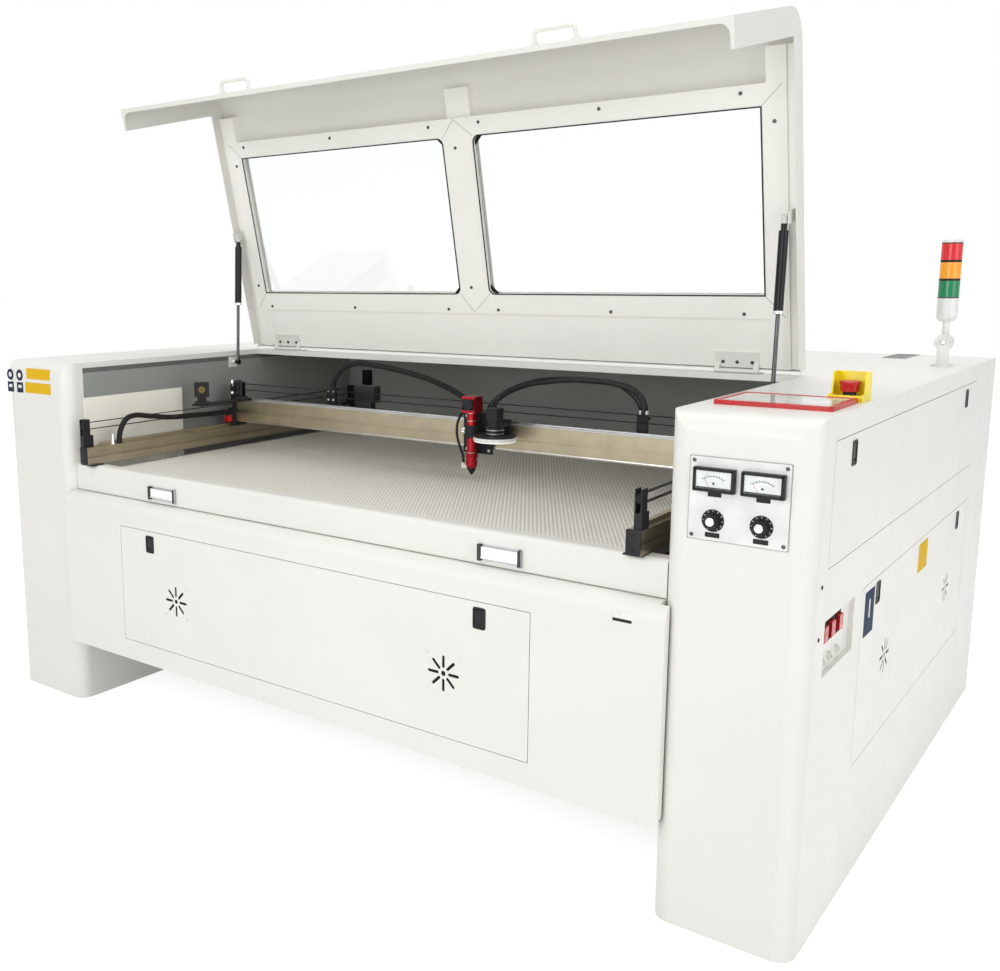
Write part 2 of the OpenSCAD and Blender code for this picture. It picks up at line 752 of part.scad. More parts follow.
// Brackets under the rim; their studs stop just short of the rod ends
module strut_brackets_body() {
  color(white) for (s = [0, 1]) {
    wall = s == 0 ? inner_l + wall_t : inner_r - wall_t;
    stud = strut_in - eye_w / 2 - 1 - wall_t;
    translate([s == 0 ? wall : wall - 3, from_front(strut_low_y) - 18, strut_low_z - 18]) cube([3, 36, 34]);
    translate([s == 0 ? wall : wall - stud, from_front(strut_low_y), strut_low_z])
      rotate([0, 90, 0]) cylinder(r = 6, h = stud);
  }
}

// ---------- control corner ----------

meter_w = 76;
meter_h = 44;
meter_xs = [plate_x + 10, plate_x + 98];
meter_z = plate_z + 92;
knob_xs = [plate_x + 47, plate_x + 135];
knob_z = plate_z + 38;
shaft_r = 3;

module control_plate() {
  color(steel) difference() {
    translate([from_left(plate_x), front_y - 2, plate_z]) rounded_plate_xz(plate_w, plate_h, 2, 5);
    for (d = meter_xs) translate([from_left(d) + 6, front_y - 3, meter_z + 5]) cube([meter_w - 12, 4,
        meter_h - 10]);
    for (d = knob_xs) translate([from_left(d), front_y + 1, knob_z]) rotate([90, 0, 0])
        cylinder(r = shaft_r + fit, h = 4);
  }
}

// Panel meters: bezel in front of the plate, case behind it, a shallow window for the scale
module meters() {
  bezel = 8;
  color(black) for (d = meter_xs) translate([from_left(d), front_y - 2, meter_z]) difference() {
    union() {
      translate([0, -bezel, 0]) cube([meter_w, bezel, meter_h]);
      translate([7, -1, 6]) cube([meter_w - 14, 36, meter_h - 12]);
    }
    translate([10, -bezel - 1, 9]) cube([meter_w - 20, 4, meter_h - 17]);
  }
}

module knob(i) {
  skirt = 3.5;
  color(steel) translate([from_left(knob_xs[i]), front_y - 2, knob_z]) rotate([90, 0, 0]) union() {
    translate([0, 0, -14]) cylinder(r = shaft_r, h = 20);
    translate([0, 0, 0.6]) cylinder(r = 14, h = skirt);
    translate([0, 0, 0.6 + skirt]) cylinder(r = 11, h = 12);
    translate([-1, 7, 0.6 + skirt]) cube([2, 4.4, 12.6]);
  }
}
module knob_left() { knob(0); }
module knob_right() { knob(1); }

touch_x = body_w - right_w + 33;
touch_y = 130;
touch_w = 220;
touch_d = 175;
touch_t = 5;

module touch_panel() {
  rim = 9;
  color(red) translate([from_left(touch_x), from_front(touch_y), body_h]) difference() {
    rounded_plate_xy(touch_w, touch_d, touch_t, 6);
    translate([rim, rim, touch_t - 1]) cube([touch_w - 2 * rim, touch_d - 2 * rim, 2]);
  }
}

estop_x = from_right(48);
estop_y = from_front(337);
estop_s = 64;
estop_base = 28;

// Yellow box whose walls shroud the button on three sides
module estop_box() {
  wall = 3;
  front_h = 36;
  back_h = 56;
  h = estop_s / 2;
  color([0.95, 0.85, 0.05]) translate([estop_x, estop_y, body_h]) difference() {
    translate([-h, 0, 0]) rotate([90, 0, 90]) linear_extrude(estop_s)
      polygon([[-h, 0], [h, 0], [h, back_h], [h - 12, back_h], [-h, front_h]]);
    translate([-h + wall, -h - 1, estop_base]) cube([estop_s - 2 * wall, estop_s - wall + 1, 60]);
    translate([0, 0, -1]) cylinder(r = 8 + fit, h = 60);
  }
}

module estop_button() {
  travel_room = 7;
  color(red) translate([estop_x, estop_y, body_h]) union() {
    translate([0, 0, -20]) cylinder(r = 8, h = 20 + estop_base + travel_room);
    translate([0, 0, estop_base + travel_room]) cylinder(r = 20, h = 6);
    translate([0, 0, estop_base + travel_room + 6]) cylinder(r1 = 20, r2 = 17, h = 5);
  }
}

tower_x = from_right(65);
tower_y = from_front(1305);
fold_z = body_h + 64;
fold_r = 22;
fold_half = 12;
lamp_r = 25;
lamp_h = 42;
lamp_low = body_h + 183;
lamp_gap = 6;

// Foot and front half of the fold joint that lets the signal tower lie down
module tower_mount() {
  color(white) translate([tower_x, tower_y, 0]) union() {
    translate([0, 0, body_h]) cylinder(r = 27, h = 6);
    translate([-14, -fold_half, body_h + 5]) cube([28, fold_half - gap, fold_z - body_h - 5]);
    translate([0, -gap, fold_z]) rotate([90, 0, 0]) cylinder(r = fold_r, h = fold_half - gap);
    translate([0, fold_half + 4, fold_z]) rotate([90, 0, 0]) cylinder(r = 5, h = 2 * fold_half);
  }
}

module tower_pole() {
  color(white) translate([tower_x, tower_y, 0]) difference() {
    union() {
      translate([0, fold_half, fold_z]) rotate([90, 0, 0]) cylinder(r = fold_r, h = fold_half);
      translate([-8, 0.5, fold_z]) cube([16, fold_half - 0.5, 56]);
      translate([0, 6, fold_z + 20]) cylinder(r = 8, h = 45);
      translate([0, 6, lamp_low - 64]) cylinder(r1 = lamp_r - 8, r2 = lamp_r, h = 8);
      translate([0, 6, lamp_low - 56]) cylinder(r = lamp_r, h = 56);
      translate([0, 6, lamp_low - 1]) cylinder(r = 10, h = 3 * (lamp_h + lamp_gap) + 2);
      for (i = [1, 2]) translate([0, 6, lamp_low + i * (lamp_h + lamp_gap) - lamp_gap])
          cylinder(r = lamp_r - 1, h = lamp_gap);
      translate([0, 6, lamp_low + 3 * lamp_h + 2 * lamp_gap]) cylinder(r = lamp_r, h = 8);
      translate([0, 6, lamp_low + 3 * lamp_h + 2 * lamp_gap + 8]) cylinder(r1 = lamp_r,
          r2 = lamp_r - 6, h = 4);
    }
    translate([0, fold_half + 6, fold_z]) rotate([90, 0, 0]) cylinder(r = 5 + fit, h = 2 * fold_half);
    translate([-60, -60, fold_z - 30]) cube([120, 60, fold_r + 30]);
  }
}

module tower_lamps() {
  color([0.9, 0.3, 0.1]) for (i = [0:2])
    translate([tower_x, tower_y + 6, lamp_low + i * (lamp_h + lamp_gap)]) difference() {
      cylinder(r = lamp_r, h = lamp_h);
      translate([0, 0, -1]) cylinder(r = 10 + fit, h = lamp_h + 2);
    }
}

rocker_ys = [112, 158, 209];
rocker_z = 612;
rocker_w = 26;
rocker_h = 36;
rocker_pin_r = 0.6;

// Pocket in the right side with the sockets below the rocker switches
module switch_plate() {
  x = from_right(switch_deep);
  wall = 2;
  color(white) difference() {
    union() {
      translate([x, from_front(switch_y) - wall, switch_z - wall])
        cube([switch_deep - sheet, switch_len + 2 * wall, switch_h + 2 * wall]);
      translate([from_right(sheet + 2), from_front(switch_y) - 8, switch_z - 8]) cube([2,
          switch_len + 16, switch_h + 16]);
    }
    translate([x + wall, from_front(switch_y), switch_z]) cube([switch_deep + 2, switch_len, switch_h]);
    for (y = rocker_ys) translate([x - 1, from_front(y) - rocker_w / 2, rocker_z - rocker_h / 2])
      cube([wall + 2, rocker_w, rocker_h]);
    for (y = rocker_ys) translate([x + 1, from_front(y) + rocker_w, rocker_z]) rotate([90, 0, 0])
      cylinder(r = rocker_pin_r + fit, h = 2 * rocker_w);
  }
  color(dark) for (y = rocker_ys) translate([x + wall, from_front(y), switch_z + 22]) rotate([0, 90,
      0]) difference() {
    cylinder(r = 9, h = 7);
    translate([0, 0, 2]) cylinder(r = 6, h = 7);
  }
}

// Rocker that tips about a pin between the pocket's edges
module rocker(i) {
  color(red) translate([from_right(switch_deep) + 1, from_front(rocker_ys[i]), rocker_z]) union() {
    translate([0, rocker_w / 2 - 1, 0]) rotate([90, 0, 0]) intersection() {
      cylinder(r = 17, h = rocker_w - 2);
      translate([-6, -15, 0]) cube([15, 30, rocker_w - 2]);
    }
    translate([0, rocker_w / 2 + 2, 0]) rotate([90, 0, 0]) cylinder(r = rocker_pin_r, h = rocker_w + 4);
  }
}
module rocker_1() { rocker(0); }
module rocker_2() { rocker(1); }
module rocker_3() { rocker(2); }

// ---------- gantry ----------

rail_w = 30;
rail_low = ledge_h + 3;
rail_top = rail_low + 60;
rail_y = 6;
rail_end = bulkhead_y - 50;
rail_in = 48;
rail_xs = [left_w + rail_in, body_w - right_w - rail_in - rail_w];
strip_w = 12;
strip_h = 10;
strip_y = 60;
strip_back = 40;
beam_low = rail_top + 5;
beam_h = 70;
beam_d = 40;
beam_in = 83;
beam_x0 = left_w + beam_in;
beam_x1 = body_w - right_w - beam_in;
belt_t = 1.5;
belt_w = 9;
belt_z = rail_top + 51;
wheel_r = 9;
wheel_in = 10;

// Square profile with an open groove along the middle of every side
module slotted_profile(w, h) {
  groove = 8;
  deep = 5;
  wall = 2.5;
  difference() {
    square([w, h]);
    for (x = [-1, w - deep]) translate([x, h / 2 - groove / 2]) square([deep + 1, groove]);
    for (y = [-1, h - deep]) translate([w / 2 - groove / 2, y]) square([groove, deep + 1]);
    for (y = [deep + wall, h / 2 + groove / 2 + wall])
      translate([deep + wall, y]) square([w - 2 * deep - 2 * wall, h / 2 - groove / 2 - deep - 2 * wall]);
  }
}

// Rails along Y with a guide strip on top
module y_rails() {
  color(steel) for (d = rail_xs) translate([from_left(d), 0, rail_low]) {
    translate([0, from_front(rail_end), 0]) rotate([90, 0, 0]) linear_extrude(rail_end - rail_y)
      slotted_profile(rail_w, rail_top - rail_low - strip_h);
    translate([(rail_w - strip_w) / 2, from_front(strip_y), rail_top - rail_low - strip_h])
      cube([strip_w, rail_end - strip_back - strip_y, strip_h]);
  }
}

housing_w = 16;
housing_cheek = 3;
housing_top = belt_z + 20;

// Belt loops stand on edge over the outer half of each rail; this is the middle of a loop's width
function belt_x(s) = s == 0 ? from_left(rail_xs[0]) + housing_w / 2 : from_left(rail_xs[1])
    + rail_w - housing_w / 2;

// Housing of one belt wheel: foot block, two cheeks and the wheel on its pin
module wheel_housing(end_y, back) {
  foot_d = 34;
  cheek_len = 24;
  foot_h = 34;
  low = rail_top - strip_h;
  side = housing_w / 2 - housing_cheek;
  translate([0, from_front(end_y), 0]) mirror([0, back, 0]) {
    translate([-housing_w / 2, 0, low]) cube([housing_w, foot_d, foot_h]);
    for (x = [-housing_w / 2, side]) translate([x, 0, low]) cube([housing_cheek, cheek_len,
        housing_top - low]);
    translate([-housing_w / 2 - 1, wheel_in, belt_z]) rotate([0, 90, 0]) cylinder(r = 3, h = housing_w + 2);
    translate([-side + gap / 2, wheel_in, belt_z]) rotate([0, 90, 0]) cylinder(r = wheel_r - fit,
        h = 2 * side - gap);
  }
}

// At the front each rail stands on a foot on the ledge, at the back a plate ties it to the wall
module rail_brackets() {
  t = 8;
  foot_x = 40;
  foot_y = [12, 58];
  color(black) for (s = [0, 1]) {
    wall = s == 0 ? inner_l + wall_t : inner_r - wall_t;
    near = s == 0 ? from_left(rail_xs[0]) : from_left(rail_xs[1]) + rail_w;
    far = s == 0 ? near + rail_w : near - rail_w;
    translate([s == 0 ? near : near - foot_x, from_front(foot_y[0]), ledge_h])
      cube([foot_x, foot_y[1] - foot_y[0], rail_low - ledge_h]);
    translate([min(wall, far), from_front(rail_end), rail_low]) cube([abs(far - wall), t, 60]);
    translate([belt_x(s), 0, 0]) wheel_housing(rail_y, 0);
    translate([belt_x(s), 0, 0]) wheel_housing(rail_end, 1);
  }
}

// Toothed belts above the rails, drawn as flat loops round their wheels
module y_belts() {
  y0 = from_front(rail_y + wheel_in);
  y1 = from_front(rail_end - wheel_in);
  outer = wheel_r + belt_t;
  color(black) for (s = [0, 1]) along_x(belt_x(s) - belt_w / 2, belt_w) difference() {
    union() {
      translate([y0, belt_z - outer]) square([y1 - y0, 2 * outer]);
      for (y = [y0, y1]) translate([y, belt_z]) circle(r = outer);
    }
    translate([y0, belt_z - wheel_r]) square([y1 - y0, 2 * wheel_r]);
    for (y = [y0, y1]) translate([y, belt_z]) circle(r = wheel_r);
  }
}

module x_beam() {
  color(gold) translate([from_left(beam_x0), from_front(beam_y), beam_low]) rotate([90, 0, 90])
    linear_extrude(beam_x1 - beam_x0) slotted_profile(beam_d, beam_h);
}

end_t = 6;

// End carriages: a plate on the beam's end, a guide block on the rail, a clamp on the belt's
// lower run and the housing of the cross belt's wheel
module beam_ends() {
  depth = beam_d + 24;
  y = from_front(beam_y - 12);
  beam_top = beam_low + beam_h;
  run_z = belt_z - wheel_r - belt_t;
  jaw = 5;
  wheel_box = 46;
  color(black) for (s = [0, 1]) {
    rail_x = from_left(rail_xs[s]);
    end_x = s == 0 ? from_left(beam_x0) - end_t : from_left(beam_x1);
    block_x = rail_x - 2;
    translate([end_x, y, rail_top + 6]) cube([end_t, depth, beam_top - rail_top - 6]);
    translate([min(block_x, end_x), y, rail_top + 6])
      cube([s == 0 ? end_x + end_t - block_x : rail_x + rail_w + 2 - end_x, depth, 10]);
    difference() {
      translate([block_x, y, rail_top - strip_h + 1]) cube([rail_w + 4, depth, strip_h + 6]);
      translate([rail_x + (rail_w - strip_w) / 2 - fit, y - 1, rail_low])
        cube([strip_w + 2 * fit, depth + 2, rail_top - rail_low + fit]);
    }
    for (z = [run_z - gap / 4 - jaw, run_z + belt_t + gap / 4])
      translate([s == 0 ? rail_x : end_x, from_front(beam_y), z])
        cube([s == 0 ? end_x - rail_x + 1 : rail_x + rail_w - end_x, 30, jaw]);
    difference() {
      translate([s == 0 ? end_x + end_t - wheel_box : end_x, from_front(cross_y - 12), beam_top - 6])
        cube([wheel_box, 24, 62]);
      translate([s == 0 ? end_x + end_t - wheel_box + 6 : end_x - 1, from_front(cross_y - 6),
          beam_top + 14])
        cube([wheel_box - 5, 12, 56]);
    }
  }
}

cross_y = beam_y + 33;
x_rail_w = 15;
x_rail_h = 9;
x_rail_y = beam_y + 10;
x_rail_x0 = beam_x0 + 60;
x_rail_x1 = beam_x1 - 42;

// Ground guide rail on top of the beam, waisted like a linear bearing rail
module x_rail() {
  color(steel) translate([from_left(x_rail_x0), from_front(x_rail_y), beam_low + beam_h]) rotate([90,
      0, 90])
    linear_extrude(x_rail_x1 - x_rail_x0) difference() {
      square([x_rail_w, x_rail_h]);
      for (y = [0, x_rail_w]) translate([y, x_rail_h / 2]) circle(r = 2, $fn = 4);
    }
}

// Turning mirror on a stand: base plate, upright, tilted mirror plate and its screws
module mirror_stand(h, turn) {
  plate = 46;
  rotate([0, 0, turn]) {
    translate([-22, -22, 0]) cube([44, 44, 6]);
    translate([-4, -14, 5]) cube([8, 28, h - plate / 2]);
    translate([-3, -plate / 2, h - plate / 2]) difference() {
      cube([7, plate, plate]);
      translate([-1, plate / 2, plate / 2]) rotate([0, 90, 0]) cylinder(r = 13, h = 9);
    }
    translate([-12, -plate / 2, h - plate / 2]) difference() {
      cube([6, plate, plate]);
      translate([-1, plate / 2, plate / 2]) rotate([0, 90, 0]) cylinder(r = 11, h = 9);
    }
    translate([-16, 0, h]) rotate([0, 90, 0]) cylinder(r = 13.5, h = 13);
    for (a = [[-17, -17], [-17, 17], [17, 17]]) translate([-24, a[0], h + a[1]]) rotate([0, 90, 0])
        cylinder(r = 3.5, h = 24);
  }
}

mirror_x = beam_x0 + 22;
arm_t = 6;

// Front mirror, on an arm that reaches forward from the beam's left end
module mirror_mount_arm() {
  reach = 170;
  color(black) translate([from_left(mirror_x), from_front(beam_y), beam_low + beam_h]) {
    translate([-20, -reach - 24, 0]) cube([40, reach + 24 + beam_d, arm_t]);
    translate([0, -reach, arm_t]) mirror_stand(44, -45);
  }
}

// Second mirror, on the root of the same arm
module mirror_mount_beam() {
  color(black) translate([from_left(mirror_x), from_front(beam_y) + 2, beam_low + beam_h + arm_t])
      mirror_stand(38, 45);
}

head_plate_w = 92;
head_block_w = 60;
head_plate_y = beam_y - 10;
tube_r = 14;
tube_low = table_h + 37;
tube_top = beam_low + 109;
clamp_low = beam_low + 34;
clamp_h = 34;
tube_y = head_plate_y - 30;

// Carriage on the guide rail: bearing block, plate and the split clamp round the lens tube
module head_plate() {
  y = from_front(head_plate_y);
  t = 6;
  block_low = beam_low + beam_h + 2;
  block_h = 20;
  block_y = x_rail_y - 6;
  block_d = x_rail_w + 8;
  plate_low = beam_low - 14;
  plate_top = block_low + block_h + t;
  color(dark) {
    difference() {
      translate([from_left(head_x) - head_block_w / 2, from_front(block_y), block_low])
        cube([head_block_w, block_d, block_h]);
      translate([from_left(head_x) - head_block_w, from_front(x_rail_y) - fit, block_low - 1])
        cube([2 * head_block_w, x_rail_w + 2 * fit, x_rail_h - 1 + fit]);
    }
    translate([from_left(head_x) - head_plate_w / 2, y, plate_top - t])
      cube([head_plate_w, block_y + block_d - head_plate_y, t]);
    translate([from_left(head_x) - head_plate_w / 2, y, plate_low]) cube([head_plate_w, t,
        plate_top - plate_low]);
  }
  color(red) difference() {
    union() {
      translate([from_left(head_x) - 20, from_front(tube_y) + 6, clamp_low]) cube([40,
          y - from_front(tube_y) - 6, clamp_h]);
      translate([from_left(head_x), from_front(tube_y), clamp_low]) cylinder(r = tube_r + 5, h = clamp_h);
    }
    translate([from_left(head_x), from_front(tube_y), clamp_low - 1]) cylinder(r = tube_r + fit,
        h = clamp_h + 2);
  }
}

// Focus tube with the mirror housing on top; it slides in the clamp
module laser_head() {
  bore = 10;
  color(red) translate([from_left(head_x), from_front(tube_y), 0]) difference() {
    union() {
      translate([0, 0, tube_low]) cylinder(r = tube_r, h = tube_top - tube_low);
      translate([0, 0, tube_low]) cylinder(r = tube_r + 1.6, h = 16);
      translate([0, 0, tube_low - 5]) cylinder(r1 = tube_r - 1, r2 = tube_r + 1.6, h = 5);
      translate([-21, -20, tube_top - 6]) cube([42, 40, 44]);
    }
    translate([0, 0, tube_low - 6]) cylinder(r = bore, h = tube_top - tube_low + 26);
    translate([-30, 0, tube_top + 18]) rotate([0, 90, 0]) cylinder(r = bore, h = 30);
  }
}

module nozzle() {
  tip = table_h + 12;
  low = tube_low - 5;
  color(black) translate([from_left(head_x), from_front(tube_y), 0]) difference() {
    union() {
      translate([0, 0, tip]) cylinder(r1 = 2.5, r2 = tube_r - 1, h = low - tip - 3);
      translate([0, 0, low - 3]) cylinder(r = tube_r - 1, h = 3);
      translate([0, 0, low - 1]) cylinder(r = 10 - fit, h = 9);
    }
    translate([0, 0, tip - 1]) cylinder(r = 1.2, h = 40);
    translate([0, 0, low - 6]) cylinder(r1 = 1.2, r2 = 7, h = 20);
  }
}

camera_in = 92;
camera_y = head_plate_y - 60;
ring_r = 56;
ring_bore = 29;
ring_h = 14;
ring_low = beam_low + 38;

// Camera with its ring light, on an arm from the carriage plate
module head_camera() {
  cx = from_left(head_x) + camera_in;
  cy = from_front(camera_y);
  color(black) difference() {
    union() {
      translate([cx, cy, ring_low]) cylinder(r = ring_r, h = ring_h);
      translate([cx, cy, ring_low + ring_h]) cylinder(r = 24, h = 22);
      translate([cx, cy, ring_low + ring_h + 22]) cylinder(r = 18, h = 16);
      translate([cx - 16, cy - 16, ring_low + ring_h + 38]) cube([32, 32, 34]);
      translate([cx - 60, from_front(head_plate_y) - 6, ring_low + ring_h]) cube([75, 6, 36]);
      translate([cx - 15, cy + 10, ring_low + ring_h + 20]) cube([30, from_front(head_plate_y)
          - cy - 10, 8]);
    }
    translate([cx, cy, ring_low - 1]) cylinder(r = ring_bore, h = ring_h - 3);
    translate([cx, cy, ring_low - 1]) cylinder(r = 15, h = ring_h + 18);
  }
}

table_in = 83;
table_x0 = left_w + table_in;
table_x1 = body_w - right_w - table_in;
table_y0 = 62;
table_y1 = bulkhead_y - 130;
table_rim = 18;
table_t = 25;
bearer_h = 40;
cell_t = 4;

// Honeycomb table: aluminium rim round the cell sheet, on two cross bearers
module honeycomb_table() {
  cells_z = table_h - table_t;
  w = table_x1 - table_x0;
  d = table_y1 - table_y0;
  color(steel) union() {
    translate([from_left(table_x0), from_front(table_y0), cells_z]) difference() {
      cube([w, d, table_t]);
      translate([table_rim, table_rim, -1]) cube([w - 2 * table_rim, d - 2 * table_rim, table_t + 2]);
    }
    translate([from_left(table_x0) + table_rim, from_front(table_y0) + table_rim, table_h - cell_t - 1])
      cube([w - 2 * table_rim, d - 2 * table_rim, cell_t]);
    for (y = [300, 900]) translate([inner_l + wall_t, from_front(y), cells_z - bearer_h]) difference() {
      cube([inner_w - 2 * wall_t, 40, bearer_h]);
      translate([-1, sheet, -1]) cube([inner_w, 40 - 2 * sheet, bearer_h - sheet + 1]);
    }
  }
}

laser_y = body_d - 240;
laser_z = beam_low + 54;
laser_r = 40;
laser_x0 = left_w + 263;
laser_len = inner_w - 328;

// Glass laser tube with its metal ends
module laser_tube() {
  glass = 2.5;
  color([0.7, 0.78, 0.8]) translate([from_left(laser_x0), from_front(laser_y), laser_z]) rotate([0, 90,
      0]) difference() {
    union() {
      cylinder(r = laser_r, h = laser_len);
      for (z = [-50, laser_len]) translate([0, 0, z]) cylinder(r = 22, h = 50);
    }
    translate([0, 0, glass]) cylinder(r = laser_r - glass, h = laser_len - 2 * glass);
    translate([0, 0, -51]) cylinder(r = 6, h = laser_len + 102);
  }
}

bracket_x = beam_x1 - 270;

// Bracket behind the beam that holds the hoses and cables of the head
module cable_bracket() {
  rear = from_front(beam_y + beam_d);
  color(black) translate([from_left(bracket_x), rear, beam_low + 10]) {
    cube([30, 5, 110]);
    translate([0, 0, 100]) cube([30, 18, 5]);
  }
}

left_cabinet();
right_cabinet();
rear_cover();
floor_pan();
inner_walls();
front_panel();
front_ledge();
ledge_handle_plates();
ledge_bail_left();
ledge_bail_right();
front_door();
front_latch_left();
front_latch_right();
side_hatch();
hatch_latch_front();
hatch_latch_rear();
side_door();
side_latch_front();
side_latch_rear();
lid_skin();
lid_frame();
window_panes();
lid_handles();
hinge_leaves_body();
hinge_leaves_lid();
strut_tube_left();
strut_rod_left();
strut_tube_right();
strut_rod_right();
strut_brackets_lid();
strut_brackets_body();
control_plate();
meters();
knob_left();
knob_right();
touch_panel();
estop_box();
estop_button();
tower_mount();
tower_pole();
tower_lamps();
switch_plate();
rocker_1();
rocker_2();
rocker_3();
y_rails();
rail_brackets();
y_belts();
x_beam();
beam_ends();
x_rail();
mirror_mount_arm();
mirror_mount_beam();
head_plate();
laser_head();
nozzle();
head_camera();
honeycomb_table();
laser_tube();
cable_bracket();
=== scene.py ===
import json
import math

import bmesh
import bpy
from mathutils import Matrix, Vector


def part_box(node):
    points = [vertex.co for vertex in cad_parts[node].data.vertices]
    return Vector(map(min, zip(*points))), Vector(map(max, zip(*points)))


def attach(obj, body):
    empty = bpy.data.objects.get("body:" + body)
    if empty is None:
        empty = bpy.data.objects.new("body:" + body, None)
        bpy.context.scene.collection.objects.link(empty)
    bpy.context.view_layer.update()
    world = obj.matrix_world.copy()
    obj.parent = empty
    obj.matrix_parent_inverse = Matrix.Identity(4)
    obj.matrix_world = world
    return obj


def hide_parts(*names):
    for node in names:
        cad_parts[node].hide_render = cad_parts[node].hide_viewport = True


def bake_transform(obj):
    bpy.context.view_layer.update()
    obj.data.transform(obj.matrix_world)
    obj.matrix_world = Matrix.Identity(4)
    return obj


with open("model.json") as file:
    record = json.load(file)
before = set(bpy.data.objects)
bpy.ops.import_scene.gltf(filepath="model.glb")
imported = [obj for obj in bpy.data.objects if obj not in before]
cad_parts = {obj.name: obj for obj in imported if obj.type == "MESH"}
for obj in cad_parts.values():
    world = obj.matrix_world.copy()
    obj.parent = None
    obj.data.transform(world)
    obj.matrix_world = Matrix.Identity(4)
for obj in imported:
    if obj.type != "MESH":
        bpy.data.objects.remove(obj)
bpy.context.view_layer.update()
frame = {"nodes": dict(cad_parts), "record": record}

# ---------------------------------------------------------------- places

MM = 0.001
SIDE_L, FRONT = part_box("left_cabinet")[0][:2]
SIDE_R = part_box("right_cabinet")[1][0]
WIDTH = round((SIDE_R - SIDE_L) / MM)

joints = {j["name"]: j for j in frame["record"]["behaviour"]["joints"]}
HINGE = Vector(joints["lid_hinge"]["pos_m"])
LID_OPEN = math.radians(joints["lid_hinge"]["range_deg"][1])
LID_TURN = Matrix.Rotation(-LID_OPEN, 3, "X")


def at(x, y, z):
    """Millimetres from the left side, behind the fronts and above the floor, to metres in the frame."""
    return Vector((SIDE_L + x * MM, FRONT + y * MM, z * MM))


def at_lid(x, y, z):
    """The same for a point on the shut lid, turned to where the lid stands."""
    return HINGE + LID_TURN @ (at(x, y, z) - HINGE)


def step(x, y, z):
    """A step in millimetres, as metres."""
    return Vector((x * MM, y * MM, z * MM))


# ---------------------------------------------------------------- camera

SENSOR, LENS = 36.0, 38.56
SHIFT_X, SHIFT_Y = 0.1219, -0.0272
CAMERA_AT = at(2912.5, -1874.2, 1264.2)
YAW, PITCH, ROLL = math.radians(38.090), math.radians(9.630), math.radians(-0.317)

cam_data = bpy.data.cameras.new("camera")
cam_data.sensor_width = SENSOR
cam_data.lens = LENS
cam_data.shift_x = SHIFT_X
cam_data.shift_y = SHIFT_Y
cam_data.clip_end = 100
camera = bpy.data.objects.new("camera", cam_data)
bpy.context.collection.objects.link(camera)
camera.location = CAMERA_AT
camera.rotation_euler = (Matrix.Rotation(YAW, 3, "Z") @ Matrix.Rotation(math.pi / 2 - PITCH, 3, "X")
                         @ Matrix.Rotation(ROLL, 3, "Z")).to_euler()
bpy.context.scene.camera = camera

# ---------------------------------------------------------------- materials


class Nodes:
    """Adds nodes to a tree and wires them up."""

    def __init__(self, tree):
        self.tree = tree

    def node(self, kind, **settings):
        n = self.tree.nodes.new(kind)
        for key, value in settings.items():
            if key in n.inputs:
                n.inputs[key].default_value = value
            else:
                setattr(n, key, value)
        return n

    def link(self, a, b):
        self.tree.links.new(a, b)

    def math(self, op, *values):
        n = self.node("ShaderNodeMath", operation=op)
        for socket, v in zip(n.inputs, values):
            if isinstance(v, (int, float)):
                socket.default_value = v
            else:
                self.link(v, socket)
        return n.outputs[0]

    def seen(self):
        """1 for what the camera sees, straight on, through glass or in a mirror."""
        rays = self.node("ShaderNodeLightPath").outputs
        clear = self.math("MAXIMUM", rays["Is Glossy Ray"], rays["Is Transmission Ray"])
        return self.math("MAXIMUM", rays["Is Camera Ray"], clear)


